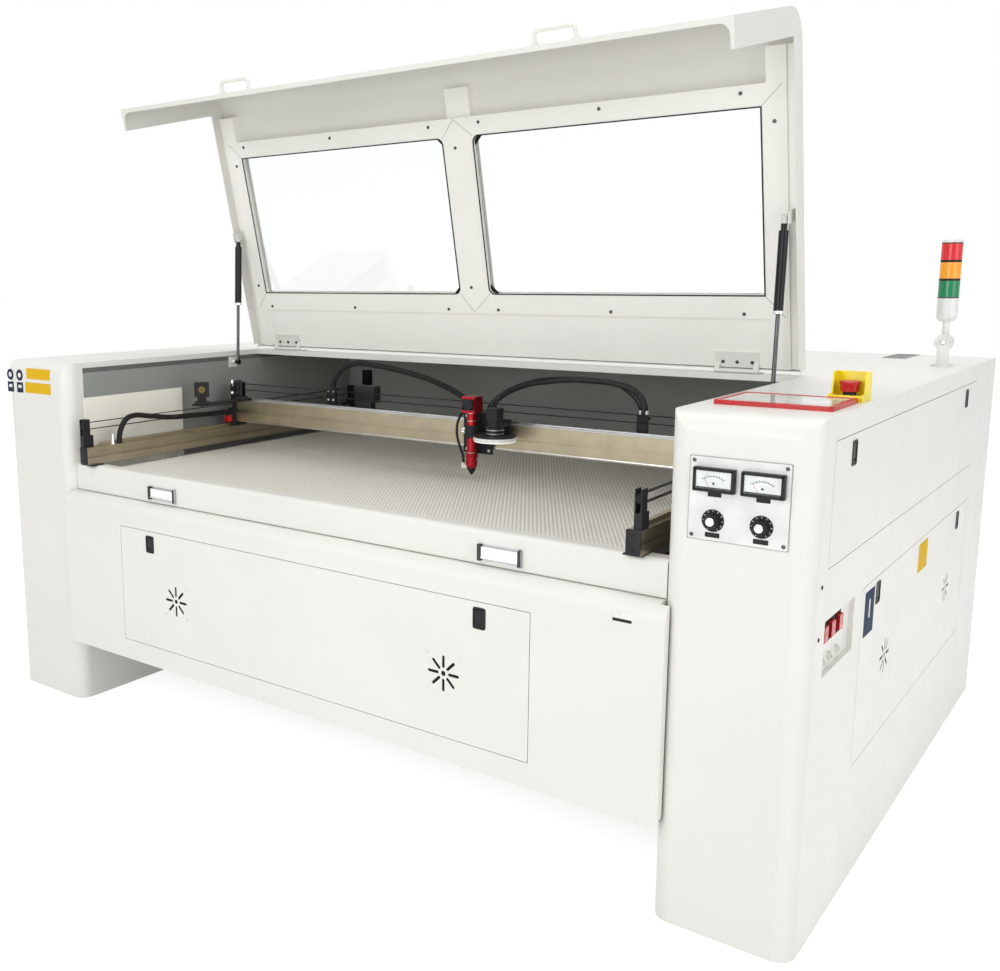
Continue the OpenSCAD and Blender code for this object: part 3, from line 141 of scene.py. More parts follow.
class Mat(Nodes):
    """A material: one shader, its sockets set to constants or fed by textures in metres of the frame."""

    def __init__(self, name, color, rough, metal=0.0, **constants):
        self.m = bpy.data.materials.new(name)
        self.m.use_nodes = True
        super().__init__(self.m.node_tree)
        self.b = self.tree.nodes["Principled BSDF"]
        self.b.inputs["Base Color"].default_value = (*color, 1)
        self.b.inputs["Roughness"].default_value = rough
        self.b.inputs["Metallic"].default_value = metal
        for key, value in constants.items():
            self.b.inputs[key.replace("_", " ")].default_value = value
        self.coords = None

    def place(self, scale=(1, 1, 1)):
        if self.coords is None:
            self.coords = self.node("ShaderNodeTexCoord")
        if scale == (1, 1, 1):
            return self.coords.outputs["Object"]
        mapping = self.node("ShaderNodeMapping")
        mapping.inputs["Scale"].default_value = scale
        self.link(self.coords.outputs["Object"], mapping.inputs["Vector"])
        return mapping.outputs["Vector"]

    def noise(self, size, detail=3.0, stretch=(1, 1, 1)):
        n = self.node("ShaderNodeTexNoise", Scale=1.0 / size, Detail=detail)
        self.link(self.place(stretch), n.inputs["Vector"])
        return n.outputs["Fac"]

    def ramp(self, fac, stops, ease="LINEAR"):
        r = self.node("ShaderNodeValToRGB")
        r.color_ramp.interpolation = ease
        r.color_ramp.elements.remove(r.color_ramp.elements[0])
        for i, (pos, col) in enumerate(stops):
            if isinstance(col, (int, float)):
                col = (col, col, col)
            e = r.color_ramp.elements[0] if i == 0 else r.color_ramp.elements.new(pos)
            e.position = pos
            e.color = (*col, 1)
        self.link(fac, r.inputs["Fac"])
        return r.outputs["Color"]

    def mix(self, fac, a, b):
        n = self.node("ShaderNodeMix", data_type="RGBA")
        for socket, v in ((0, fac), (6, a), (7, b)):
            if isinstance(v, (int, float)):
                n.inputs[socket].default_value = v
            elif isinstance(v, tuple):
                n.inputs[socket].default_value = (*v, 1)
            else:
                self.link(v, n.inputs[socket])
        return n.outputs[2]

    def axis(self, name):
        n = self.node("ShaderNodeSeparateXYZ")
        self.link(self.place(), n.inputs[0])
        return n.outputs[name]

    def inside(self, lo, hi):
        """1 where the surface lies between two corners in metres, None for an open side."""
        found = None
        for name, a, b in zip("XYZ", lo, hi):
            for op, limit in (("GREATER_THAN", a), ("LESS_THAN", b)):
                if limit is None:
                    continue
                test = self.math(op, self.axis(name), limit)
                found = test if found is None else self.math("MULTIPLY", found, test)
        return found

    def tint(self, size, low, high):
        """Colour that drifts between two tones over the given size."""
        drift = self.ramp(self.noise(size), [(0.35, 0.0), (0.65, 1.0)])
        self.link(self.mix(drift, low, high), self.b.inputs["Base Color"])
        return self

    def gloss(self, size, low, high, stretch=(1, 1, 1)):
        """Roughness that drifts between two values over the given size."""
        drift = self.ramp(self.noise(size, 4.0, stretch), [(0.3, low), (0.7, high)])
        self.link(drift, self.b.inputs["Roughness"])
        return self

    def bump(self, height, strength, distance):
        n = self.node("ShaderNodeBump", Strength=strength, Distance=distance)
        self.link(height, n.inputs["Height"])
        self.link(n.outputs["Normal"], self.b.inputs["Normal"])
        return self


def scaled(color, k):
    return tuple(min(1.0, c * k) for c in color)


def shine(color):
    """Dark finishes mirror less of the white room than pale ones."""
    return 0.16 if max(color) < 0.1 else 0.45


def powder_coat(name, color, rough=0.36, specular=None):
    m = Mat(name, color, rough, Specular_IOR_Level=specular or shine(color))
    m.tint(0.35, scaled(color, 0.975), scaled(color, 1.01))
    m.gloss(0.08, rough - 0.05, rough + 0.07)
    m.bump(m.noise(0.0022, 2.0), 0.12, 0.0004)
    return m


def moulded(name, color, rough=0.45):
    m = Mat(name, color, rough, Specular_IOR_Level=shine(color))
    m.tint(0.03, scaled(color, 0.9), scaled(color, 1.08))
    m.gloss(0.01, rough - 0.06, rough + 0.08)
    m.bump(m.noise(0.0009, 2.0), 0.2, 0.0002)
    return m


def brushed(name, color, rough, stretch=(1, 30, 30), size=0.05, metal=1.0):
    m = Mat(name, color, rough, metal)
    m.tint(0.05, scaled(color, 0.92), scaled(color, 1.04))
    m.gloss(size, rough - 0.08, rough + 0.12, stretch)
    m.bump(m.noise(size, 5.0, stretch), 0.08, 0.0002)
    return m


WHITE = (0.80, 0.795, 0.755)
BLACK = (0.022, 0.022, 0.024)
STEEL_TONE = (0.46, 0.47, 0.48)
CHAMPAGNE = (0.46, 0.40, 0.29)
WALL_GREY = (0.27, 0.28, 0.265)
# Cream of the painted sunlight on the left inner wall
PAINTED_LIGHT_CREAM = (0.95, 0.94, 0.84)
EVEN = (1, 1, 1)
ALONG_X, ALONG_Y, ALONG_Z = (0.3, 25, 25), (25, 0.3, 25), (1, 1, 0.1)

white = powder_coat("white_powder_coat", WHITE)
# Painted light: the lid frame has the body's white paint, and its paler white stands in for the light falling
# on it
frame_painted_light_white = powder_coat("window_frame_painted_light_white", (0.95, 0.945, 0.90))
black_metal = powder_coat("black_oxide_metal", BLACK, 0.42)
label_black = powder_coat("black_label", (0.02, 0.02, 0.02), 0.4)
navy = powder_coat("navy_field", (0.010, 0.018, 0.045), 0.45)
navy_bright = powder_coat("blue_field", (0.025, 0.045, 0.085), 0.6, 0.06)
yellow_field = powder_coat("yellow_field", (0.76, 0.47, 0.02), 0.6, 0.08)
grey_plate = powder_coat("grey_painted_plate", (0.30, 0.30, 0.30), 0.45)
# Grey for the lid frame's joint lines, also used as painted shade round the control plate's edge
joint_line_and_edge_shade_grey = powder_coat("grey_joint_line_and_edge_shade", (0.30, 0.30, 0.29), 0.5)

black_plastic = moulded("black_moulded_plastic", BLACK, 0.42)
white_plastic = moulded("white_moulded_plastic", (0.78, 0.78, 0.76), 0.34)
red_plastic = moulded("red_moulded_plastic", (0.50, 0.012, 0.012), 0.28)
yellow_plastic = moulded("yellow_moulded_plastic", (0.92, 0.76, 0.015), 0.34)
plate_white = moulded("white_label_plastic", (0.80, 0.80, 0.78), 0.4)
meter_white = moulded("meter_face_white", (0.86, 0.86, 0.84), 0.5)
rubber = moulded("black_rubber", (0.018, 0.018, 0.018), 0.7)
seal_black = moulded("black_window_seal", (0.012, 0.012, 0.012), 0.55)
# Dark stand-in for the shade behind the vent slots
vent_shade_dark = moulded("dark_vent_shade", (0.012, 0.012, 0.012), 0.9)

steel = brushed("brushed_steel", (0.62, 0.63, 0.64), 0.34)
plate_steel = brushed("control_plate_steel", (0.74, 0.74, 0.725), 0.45, (1, 1, 40), 0.05, 0.15)
rail_steel = brushed("ground_rail_steel", (0.60, 0.61, 0.62), 0.28, ALONG_X)
dark_steel = brushed("dark_steel_rod", (0.09, 0.09, 0.095), 0.24)
chrome = brushed("chromed_metal", (0.80, 0.80, 0.80), 0.14)
champagne = brushed("champagne_anodised_aluminium", CHAMPAGNE, 0.36, ALONG_X)
rail_gold = brushed("champagne_side_rails", CHAMPAGNE, 0.36, ALONG_Y)
mirror_gold = brushed("gold_mirror", (0.16, 0.11, 0.05), 0.14, EVEN, 0.01)
nickel = brushed("nickel_tube_ends", (0.62, 0.58, 0.48), 0.3, (1, 20, 20), 0.02)

red_anodised = Mat("red_anodised_tube", (0.42, 0.015, 0.025), 0.26, 0.75)
red_anodised.tint(0.02, (0.36, 0.012, 0.02), (0.46, 0.018, 0.03)).gloss(0.01, 0.2, 0.33, ALONG_Z)
red_anodised.bump(red_anodised.noise(0.003, 3.0, ALONG_Z), 0.06, 0.0002)
thin_glass = Mat("clear_meter_glass", (0.96, 0.98, 0.98), 0.03, Transmission_Weight=0.96, IOR=1.3)
thin_glass.gloss(0.05, 0.02, 0.05)
lens_glass = Mat("coated_lens", (0.03, 0.02, 0.06), 0.05, Coat_Weight=1.0, Coat_Roughness=0.03)
lens_glass.tint(0.01, (0.02, 0.015, 0.05), (0.05, 0.02, 0.07)).gloss(0.01, 0.03, 0.07)
ring_glow = Mat("lit_ring_diffuser", (0.92, 0.92, 0.90), 0.5, Emission_Strength=0.9,
                Emission_Color=(1.0, 0.99, 0.96, 1))
ring_glow.tint(0.02, (0.88, 0.88, 0.86), (0.95, 0.95, 0.93)).bump(ring_glow.noise(0.002), 0.1, 0.0002)


def glass_material():
    m = Mat("clear_window", (0.97, 0.985, 0.985), 0.02, Transmission_Weight=1.0, IOR=1.45)
    m.gloss(0.3, 0.0, 0.03)
    return m


def screen_material():
    """Pale glossy screen with soft tonal fields."""
    m = Mat("touch_screen", (0.6, 0.58, 0.56), 0.08)
    m.tint(0.06, (0.52, 0.50, 0.48), (0.72, 0.71, 0.69)).gloss(0.1, 0.05, 0.1)
    m.bump(m.noise(0.02), 0.03, 0.0002)
    return m


def lamp_material(lo, hi):
    """Three lens colours from the bottom up: green, amber, red."""
    green, amber, red = (0.0, 0.20, 0.075), (0.80, 0.33, 0.015), (0.62, 0.012, 0.018)
    m = Mat("signal_lenses", (0.5, 0.2, 0.1), 0.2, Emission_Strength=0.2)
    height = m.math("DIVIDE", m.math("SUBTRACT", m.axis("Z"), lo[2]), hi[2] - lo[2])
    lens = m.ramp(height, [(0.0, green), (0.32, amber), (0.66, red)], "CONSTANT")
    m.link(lens, m.b.inputs["Base Color"])
    m.link(lens, m.b.inputs["Emission Color"])
    m.gloss(0.02, 0.14, 0.26)
    m.bump(m.noise(0.004), 0.08, 0.0003)
    return m


def wall_material():
    """Grey sheet walls with a cream patch of painted sunlight low on the left one and a darker strip of
    painted shade under the top edge.
    """
    m = Mat("inner_wall_sheet", (0.2, 0.2, 0.19), 0.45)
    # Painted light: the cream patch low on the left wall stands in for sunlight falling there
    panel = m.inside((None, None, None), (0.0, FRONT + 440 * MM, 917 * MM))
    # Painted shade: the strip under the top edge is darkened for the shade of the cabinet top
    strip = m.inside((None, None, 990 * MM), (None, FRONT + 1200 * MM, None))
    grey = m.ramp(m.noise(0.3), [(0.35, WALL_GREY), (0.65, scaled(WALL_GREY, 1.12))])
    grey = m.mix(strip, grey, scaled(WALL_GREY, 0.45))
    m.link(m.mix(panel, grey, PAINTED_LIGHT_CREAM), m.b.inputs["Base Color"])
    m.gloss(0.08, 0.36, 0.5)
    m.bump(m.noise(0.0022, 2.0), 0.1, 0.0004)
    return m


CELL_PITCH = 10.5 * MM
ROW_STEP = 0.866
FAR_FROM_ZERO = 1000.0
CELLS_FROM = (at(398, 0, 0).x, at(0, 80, 0).y, 0.70)
CELLS_TO = (at(2024, 0, 0).x, at(0, 1142, 0).y, None)


def honeycomb_material():
    """Round cells in staggered rows, their hollows painted dark as shade, inside a plain aluminium rim and
    bearers.
    """
    m = Mat("honeycomb_cells", (0.6, 0.58, 0.52), 0.45)
    x = m.math("DIVIDE", m.axis("X"), CELL_PITCH)
    y = m.math("DIVIDE", m.axis("Y"), CELL_PITCH * ROW_STEP)
    # Every second row is shifted by half a cell
    odd = m.math("MULTIPLY", m.math("MODULO", m.math("ABSOLUTE", m.math("FLOOR", y)), 2.0), 0.5)
    fx = m.math("SUBTRACT", m.math("FRACT", m.math("ADD", m.math("ADD", x, odd), FAR_FROM_ZERO)), 0.5)
    fy = m.math("SUBTRACT", m.math("FRACT", m.math("ADD", y, FAR_FROM_ZERO)), 0.5)
    fy = m.math("MULTIPLY", fy, ROW_STEP)
    off_centre = m.math("SQRT", m.math("ADD", m.math("MULTIPLY", fx, fx), m.math("MULTIPLY", fy, fy)))
    rib = m.ramp(off_centre, [(0.19, 0.0), (0.31, 1.0)])
    tone = m.ramp(m.noise(0.25), [(0.3, (0.93, 0.91, 0.83)), (0.7, (0.97, 0.95, 0.89))])
    cells = m.inside(CELLS_FROM, CELLS_TO)
    metal = m.ramp(m.noise(0.03, 4.0, (1, 12, 1)), [(0.3, (0.52, 0.52, 0.51)), (0.7, (0.62, 0.62, 0.60))])
    # Painted shade: the middle of each cell is darker than its rib, for the shade in the cell's hollow
    m.link(m.mix(cells, metal, m.mix(rib, (0.40, 0.37, 0.31), tone)), m.b.inputs["Base Color"])
    m.link(m.math("MULTIPLY", m.math("SUBTRACT", 1.0, cells), 0.85), m.b.inputs["Metallic"])
    m.gloss(0.03, 0.35, 0.55)
    m.bump(m.math("MULTIPLY", rib, cells), 0.5, 0.003)
    return m


def two_tone(name, base, base_rough, other, other_rough, zones, metal=0.0):
    """One finish, and a second, non-metal one inside the given zones of the frame."""
    m = Mat(name, base, base_rough, Specular_IOR_Level=shine(base))
    mask = None
    for lo, hi in zones:
        part = m.inside(lo, hi)
        mask = part if mask is None else m.math("MAXIMUM", mask, part)
    tones = [m.ramp(m.noise(0.03), [(0.3, scaled(c, 0.93)), (0.7, scaled(c, 1.05))]) for c in (base, other)]
    m.link(m.mix(mask, *tones), m.b.inputs["Base Color"])
    grain = m.math("MULTIPLY", m.noise(0.01, 4.0), 0.08)
    rough = m.math("MULTIPLY_ADD", mask, other_rough - base_rough, base_rough - 0.04)
    m.link(m.math("ADD", rough, grain), m.b.inputs["Roughness"])
    if metal:
        m.link(m.math("MULTIPLY_ADD", mask, -metal, metal), m.b.inputs["Metallic"])
    m.bump(m.noise(0.002, 2.0), 0.1, 0.0003)
    return m


strut_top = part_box("strut_tube_left")[1][2]
strut_finish = two_tone("strut_tube_finish", (0.016, 0.016, 0.018), 0.22, (0.74, 0.74, 0.73), 0.35,
                        [((None, None, strut_top - 22 * MM), (None, None, None))])
# The black end ears of the two ledge pulls
EAR = 9
pull_finish = two_tone("ledge_pull_finish", STEEL_TONE, 0.34, BLACK, 0.42,
                       [((at(x, 0, 0).x - 1 * MM, None, None), (at(x + EAR, 0, 0).x, None, None))
                        for x in (621, 720, 1699, 1798)], 0.9)
POCKET_FROM = (None, FRONT + 94 * MM, 588 * MM)
POCKET_TO = (SIDE_R - 8 * MM, FRONT + 229 * MM, 636 * MM)
pocket_finish = two_tone("switch_pocket_finish", WHITE, 0.36, BLACK, 0.5, [(POCKET_FROM, POCKET_TO)])
screen_finish = screen_material()

paint = {
    "lid_frame": frame_painted_light_white,
    "inner_walls": wall_material(),
    "ledge_handle_plates": pull_finish,
    "window_panes": glass_material(),
    "strut_tube_left": strut_finish,
    "strut_tube_right": strut_finish,
    "control_plate": plate_steel,
    "switch_plate": pocket_finish,
    "estop_box": yellow_plastic,
    "tower_lamps": lamp_material(*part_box("tower_lamps")),
    "y_rails": rail_gold,
    "x_beam": champagne,
    "x_rail": rail_steel,
    "laser_head": red_anodised,
    "honeycomb_table": honeycomb_material(),
    "laser_tube": glass_material(),
}
for finish_of, names in (
        (chrome, "ledge_bail_left ledge_bail_right"),
        (dark_steel, "strut_rod_left strut_rod_right"),
        (black_plastic, "meters knob_left knob_right nozzle head_camera"),
        (red_plastic, "touch_panel estop_button rocker_1 rocker_2 rocker_3"),
        (white_plastic, "tower_mount tower_pole"),
        (rubber, "y_belts"),
        (black_metal, "rail_brackets beam_ends mirror_mount_arm mirror_mount_beam"),
        (black_metal, "head_plate cable_bracket")):
    paint.update(dict.fromkeys(names.split(), finish_of))
for name, obj in frame["nodes"].items():
    if "latch" in name:
        paint.setdefault(name, black_plastic)
    for s in obj.material_slots:
        s.material = paint.get(name, white).m

# ---------------------------------------------------------------- shapes, all drawn in millimetres


def above(bm, height):
    """The edges that lie wholly above a height in metres."""
    return [e for e in bm.edges if min(e.verts[0].co.z, e.verts[1].co.z) > height]


def bevel(bm, edges, size, steps=2):
    bmesh.ops.bevel(bm, geom=edges, offset=size * MM, segments=steps, profile=0.5, affect="EDGES",
                    material=-1)


def drawn_out(bm, x, y, z):
    """Draws a flat shape out to a closed solid."""
    made = bmesh.ops.extrude_face_region(bm, geom=bm.faces[:])
    far = [g for g in made["geom"] if isinstance(g, bmesh.types.BMVert)]
    bmesh.ops.translate(bm, vec=step(x, y, z), verts=far)
    bmesh.ops.recalc_face_normals(bm, faces=bm.faces)


def block(size, soften=0.0):
    """A block centred on the origin, its edges rounded by `soften`."""
    bm = bmesh.new()
    bmesh.ops.create_cube(bm, size=1.0)
    bmesh.ops.scale(bm, vec=step(*size), verts=bm.verts)
    if soften:
        bevel(bm, bm.edges[:], soften)
    return bm


def rounded(size, radius, soften=0.0, sharp_side=0):
    """A plate in the XY plane with rounded corners; `sharp_side` -1 or 1 leaves that X side square."""
    bm = block(size)
    upright = [e for e in bm.edges if abs(e.verts[0].co.z - e.verts[1].co.z) > size[2] * MM * 0.5
               and e.verts[0].co.x * sharp_side <= 0]
    bevel(bm, upright, radius, 6)
    if soften:
        bevel(bm, above(bm, size[2] * MM / 2 - 1e-6), soften)
    return bm


def frame_ring(size, radius, wall, sharp_side=0):
    """The same plate with its middle cut out, leaving a wall all round."""
    bm = rounded(size, radius, 0.0, sharp_side)
    bm.normal_update()
    flats = [f for f in bm.faces if abs(f.normal.z) > 0.99]
    bmesh.ops.inset_region(bm, faces=flats, thickness=wall * MM, use_even_offset=True)
    inner = [e for f in flats for e in f.edges]
    bmesh.ops.delete(bm, geom=flats, context="FACES_ONLY")
    bmesh.ops.bridge_loops(bm, edges=inner)
    return bm


def turned(profile, sides=32, closed=False):
    """A shape turned round Z from (radius, height) points."""
    bm = bmesh.new()
    points = [bm.verts.new((r * MM, 0, z * MM)) for r, z in profile]
    edges = [bm.edges.new(pair) for pair in zip(points, points[1:])]
    if closed:
        edges.append(bm.edges.new((points[-1], points[0])))
    bmesh.ops.spin(bm, geom=points + edges, cent=(0, 0, 0), axis=(0, 0, 1), dvec=(0, 0, 0),
                   angle=2 * math.pi, steps=sides, use_merge=True)
    bmesh.ops.remove_doubles(bm, verts=bm.verts, dist=1e-6)
    bmesh.ops.recalc_face_normals(bm, faces=bm.faces)
    return bm


def disc(radius, height, soften=0.0, sides=32):
    """A turned disc that stands on the XY plane, its upper edge rounded."""
    s = soften or radius * 0.02
    return turned([(0, 0), (radius, 0), (radius, height - s), (radius - s, height), (0, height)], sides)


def hoop(outer, inner, height, sides=48):
    """A turned ring that stands on the XY plane, its upper edges rounded."""
    s = min(height, outer - inner) * 0.2
    return turned([(inner, 0), (outer, 0), (outer, height - s), (outer - s, height), (inner + s, height),
                   (inner, height - s)], sides, True)


def sector(radius, width, height, start, sweep):
    """A flat arc in the XY plane, its angles in degrees."""
    bm = slid(block((width, height, height)), radius, 0, height / 2)
    cut = bmesh.ops.bisect_plane(bm, geom=bm.verts[:] + bm.edges[:] + bm.faces[:], plane_co=(0, 0, 0),
                                 plane_no=(0, 1, 0), clear_outer=True, clear_inner=True)
    edges = [g for g in cut["geom_cut"] if isinstance(g, bmesh.types.BMEdge)]
    face = bmesh.ops.contextual_create(bm, geom=edges)["faces"]
    first = Matrix.Rotation(math.radians(start), 3, "Z")
    bmesh.ops.rotate(bm, cent=(0, 0, 0), matrix=first, verts=bm.verts)
    bmesh.ops.spin(bm, geom=face + bm.edges[:] + bm.verts[:], cent=(0, 0, 0), axis=(0, 0, 1),
                   dvec=(0, 0, 0), angle=math.radians(sweep), steps=20)
    bmesh.ops.recalc_face_normals(bm, faces=bm.faces)
    return bm


def fluted(radius, height, flutes, depth):
    """A knob grip: a disc whose edge is cut into flutes."""
    bm = bmesh.new()
    bmesh.ops.create_circle(bm, cap_ends=True, radius=radius * MM, segments=flutes * 4)
    for v in bm.verts:
        turn = math.atan2(v.co.y, v.co.x)
        v.co *= 1 - depth / radius * (0.5 + 0.5 * math.cos(turn * flutes)) ** 2
    drawn_out(bm, 0, 0, height)
    bevel(bm, above(bm, height * MM * 0.99), height * 0.08)
    return bm


def side_wall(profile, thick):
    """A plate drawn in the YZ plane from its corner points, centred on X."""
    bm = bmesh.new()
    bm.faces.new([bm.verts.new(step(-thick / 2, y, z)) for y, z in profile])
    drawn_out(bm, thick, 0, 0)
    across = [e for e in bm.edges if abs(e.verts[0].co.x - e.verts[1].co.x) > thick * MM * 0.5]
    bevel(bm, across, 2.5, 3)
    return bm


def corner_fillet(leg_x, leg_y, height):
    """A three-cornered plate whose square corner is on the origin."""
    bm = bmesh.new()
    bmesh.ops.create_circle(bm, cap_ends=True, radius=1.0, segments=3)
    for v, (x, y) in zip(bm.verts, ((0, 0), (leg_x, 0), (0, leg_y))):
        v.co = step(x, y, 0)
    drawn_out(bm, 0, 0, height)
    return bm


def pan_screw(radius=4.5, height=2.4):
    """Pan-head screw standing on the XY plane, with a round socket."""
    socket = radius * 0.5
    return turned([(0, height * 0.45), (socket, height * 0.45), (socket, height * 0.96),
                   (radius * 0.6, height), (radius * 0.88, height * 0.78), (radius, height * 0.35),
                   (radius, 0), (0, 0)], 18)


def slid(shape, x, y, z):
    bmesh.ops.translate(shape, vec=step(x, y, z), verts=shape.verts)
    return shape


def swung(shape, turn):
    bmesh.ops.transform(shape, matrix=turn, verts=shape.verts)
    return shape


def dial_mark(size, radius, height, degrees):
    """A bar of a dial, set out from the centre and turned to its angle."""
    return swung(slid(block(size), radius, 0, height), Matrix.Rotation(math.radians(degrees), 4, "Z"))


TO_FRONT = Matrix.Rotation(math.pi / 2, 4, "X")
TO_RIGHT = Matrix.Rotation(math.pi / 2, 4, "Y")
TO_LEFT = Matrix.Rotation(-math.pi / 2, 4, "Y")
TO_FLOOR = Matrix.Rotation(math.pi, 4, "X")
# A plate drawn in XY that stands against the right side with its X along the machine
WALL_RIGHT = Matrix.Rotation(math.pi / 2, 4, "Z") @ TO_FRONT

# ---------------------------------------------------------------- pieces


class Piece:
    """A new piece, gathered from closed shapes, then given its finish and the body that it rides on."""

    def __init__(self, name, finish, slot, body):
        self.name, self.finish, self.slot, self.body = name, finish, slot, body
        self.bm = bmesh.new()

    def add(self, shape, where, turn=None, lid=False):
        """Takes a shape drawn at the origin, turns it and sets it down; `lid` turns it with the lid."""
        if turn is not None:
            swung(shape, turn)
        if lid:
            swung(shape, LID_TURN.to_4x4())
        bmesh.ops.translate(shape, vec=where, verts=shape.verts)
        mesh = bpy.data.meshes.new("shape")
        shape.to_mesh(mesh)
        shape.free()
        self.bm.from_mesh(mesh)
        bpy.data.meshes.remove(mesh)

    def done(self, smooth=35):
        mesh = bpy.data.meshes.new(self.name)
        self.bm.to_mesh(mesh)
        self.bm.free()
        mesh.shade_smooth()
        mesh.set_sharp_from_angle(angle=math.radians(smooth))
        return finish(mesh, self.name, self.finish, self.slot, self.body)


def finish(mesh, name, material, slot, body):
    mesh.materials.clear()
    mesh.materials.append(material.m)
    obj = bpy.data.objects.new(name, mesh)
    bpy.context.collection.objects.link(obj)
    if body:
        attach(obj, body)
    return obj


def build(name, material, slot, body, *parts, smooth=35):
    """A whole piece from its parts, each of them a shape, its place and its turn."""
    piece = Piece(name, material, slot, body)
    for part in parts:
        piece.add(*part)
    return piece.done(smooth)


def screws(name, material, slot, body, size, places, turn=None):
    build(name, material, slot, body, *((pan_screw(*size), where, turn) for where in places))


def hose(name, points, radius, material):
    curve = bpy.data.curves.new(name, "CURVE")
    curve.dimensions = "3D"
    spline = curve.splines.new("BEZIER")
    spline.bezier_points.add(len(points) - 1)
    for knot, p in zip(spline.bezier_points, points):
        knot.co = at(*p)
        knot.handle_left_type = knot.handle_right_type = "AUTO"
    curve.bevel_depth = radius * MM
    curve.bevel_resolution = 5
    curve.resolution_u = 14
    curve.use_fill_caps = True
    holder = bpy.data.objects.new(name + "_line", curve)
    bpy.context.collection.objects.link(holder)
    bpy.context.view_layer.update()
    mesh = bpy.data.meshes.new_from_object(holder.evaluated_get(bpy.context.evaluated_depsgraph_get()))
    bpy.data.objects.remove(holder)
    bpy.data.curves.remove(curve)
    mesh.name = name
    bm = bmesh.new()
    bm.from_mesh(mesh)
    bmesh.ops.remove_doubles(bm, verts=bm.verts, dist=1e-6)
    bmesh.ops.recalc_face_normals(bm, faces=bm.faces)
    bm.to_mesh(mesh)
    bm.free()
    mesh.shade_smooth()
    return finish(mesh, name, material, "rubber", None)


# ---------------------------------------------------------------- lid details

# Heights of the underside of the shut lid
FRAME_FACE = 1035.0
HINGE_FACE = 1037.0
PANE_FACE = 1046.0
SEAL, SEAL_T = 1.6, 1.6
WINDOWS = ((378.0, 1), (1258.0, -1))
WINDOW_W, WINDOW_D, WINDOW_R = 780.0, 438.0, 18.0
WINDOW_Y0 = 164.0
WINDOW_Y1 = WINDOW_Y0 + WINDOW_D
CORNER_LEG = 26

seals = Piece("window_seals", seal_black, "rubber", "lid")
for x0, round_side in WINDOWS:
    middle = x0 + WINDOW_W / 2
    lip = frame_ring((WINDOW_W + 2 * SEAL, WINDOW_D + 2 * SEAL, SEAL_T), WINDOW_R + SEAL, 2 * SEAL,
                     -round_side)
    seals.add(lip, at_lid(middle, WINDOW_Y0 + WINDOW_D / 2, FRAME_FACE - 0.8), lid=True)
    for y, inward in ((WINDOW_Y0, 1), (WINDOW_Y1, -1)):
        seals.add(corner_fillet(-round_side * CORNER_LEG, inward * CORNER_LEG, SEAL_T),
                  at_lid(middle + round_side * WINDOW_W / 2, y, PANE_FACE - 2.2), lid=True)
seals.done()

lid_screws = Piece("lid_frame_screws", dark_steel, "steel", "lid")
for y, face, xs in ((130, FRAME_FACE, (393, 755, 1116, 1281, 1637, 1992)),
                    (648, FRAME_FACE, (394, 753, 1110, 1281, 1630, 1986)),
                    (186, FRAME_FACE, (348,)), (578, FRAME_FACE, (348,)),
                    (198, FRAME_FACE, (2068,)), (586, FRAME_FACE, (2068,)),
                    (192, FRAME_FACE, (1198,)), (583, FRAME_FACE, (1198,)),
                    (772, HINGE_FACE, (399, 435, 472, 1928, 1964, 2002))):
    for x in xs:
        lid_screws.add(pan_screw(4.6, 2.2), at_lid(x, y, face), TO_FLOOR, lid=True)
lid_screws.done()

joint_lines = Piece("lid_frame_joint_lines", joint_line_and_edge_shade_grey, "dark_paint", "lid")


def lid_line(x0, y0, x1, y1):
    """A thin line between two points of the lid frame's underside."""
    span = Vector((x1 - x0, y1 - y0, 0))
    turn = Matrix.Rotation(math.atan2(span.y, span.x), 4, "Z")
    middle = at_lid((x0 + x1) / 2, (y0 + y1) / 2, FRAME_FACE)
    joint_lines.add(block((span.length, 1.1, 0.5)), middle, turn, lid=True)


for y_apex, y_window in ((116, WINDOW_Y0), (655, WINDOW_Y1)):
    lid_line(1200, y_apex, 1158, y_window)
    lid_line(1200, y_apex, 1258, y_window)
for x_out, x_window in ((330, 378), (2086, 2038)):
    lid_line(x_out, 117, x_window, WINDOW_Y0)
    lid_line(x_out, 656, x_window, WINDOW_Y1)
joint_lines.done()

# ---------------------------------------------------------------- latches, vents, screws

for name, centre, turn, body in (
        ("front_latch_bezel_left", at(666, -20.6, 546), TO_FRONT, "door"),
        ("front_latch_bezel_right", at(1730, -20.6, 546), TO_FRONT, "door"),
        ("hatch_latch_bezel_front", at(WIDTH + 0.6, 210, 938), WALL_RIGHT, "hatch"),
        ("hatch_latch_bezel_rear", at(WIDTH + 0.6, 1305, 938), WALL_RIGHT, "hatch"),
        ("side_latch_bezel_front", at(WIDTH + 0.6, 475, 607), WALL_RIGHT, "service_door"),
        ("side_latch_bezel_rear", at(WIDTH + 0.6, 1315, 607), WALL_RIGHT, "service_door")):
    build(name, black_plastic, "black_plastic", body, (frame_ring((32, 48, 1.6), 5, 3.2), centre, turn))

FRONT_VENTS, FRONT_VENT_Z = (764, 1638), 402.5
VENT_R, VENT_SCREW = 48, 42

screws("front_vent_screws", steel, "steel", "door", (3.6, 1.8),
       [at(x + dx, -20, FRONT_VENT_Z + dz) for x in FRONT_VENTS
        for dx in (-VENT_SCREW, VENT_SCREW) for dz in (-VENT_SCREW, VENT_SCREW)], TO_FRONT)
screws("cabinet_screws", black_metal, "black_metal", "machine", (4.2, 1.6),
       [at(WIDTH, 53, 716), at(WIDTH, 52, 619)], TO_RIGHT)
screws("control_plate_screws", dark_steel, "steel", "machine", (3.8, 1.8),
       [at(x, -2, z) for x in (2179, 2346) for z in (793, 932)], TO_FRONT)
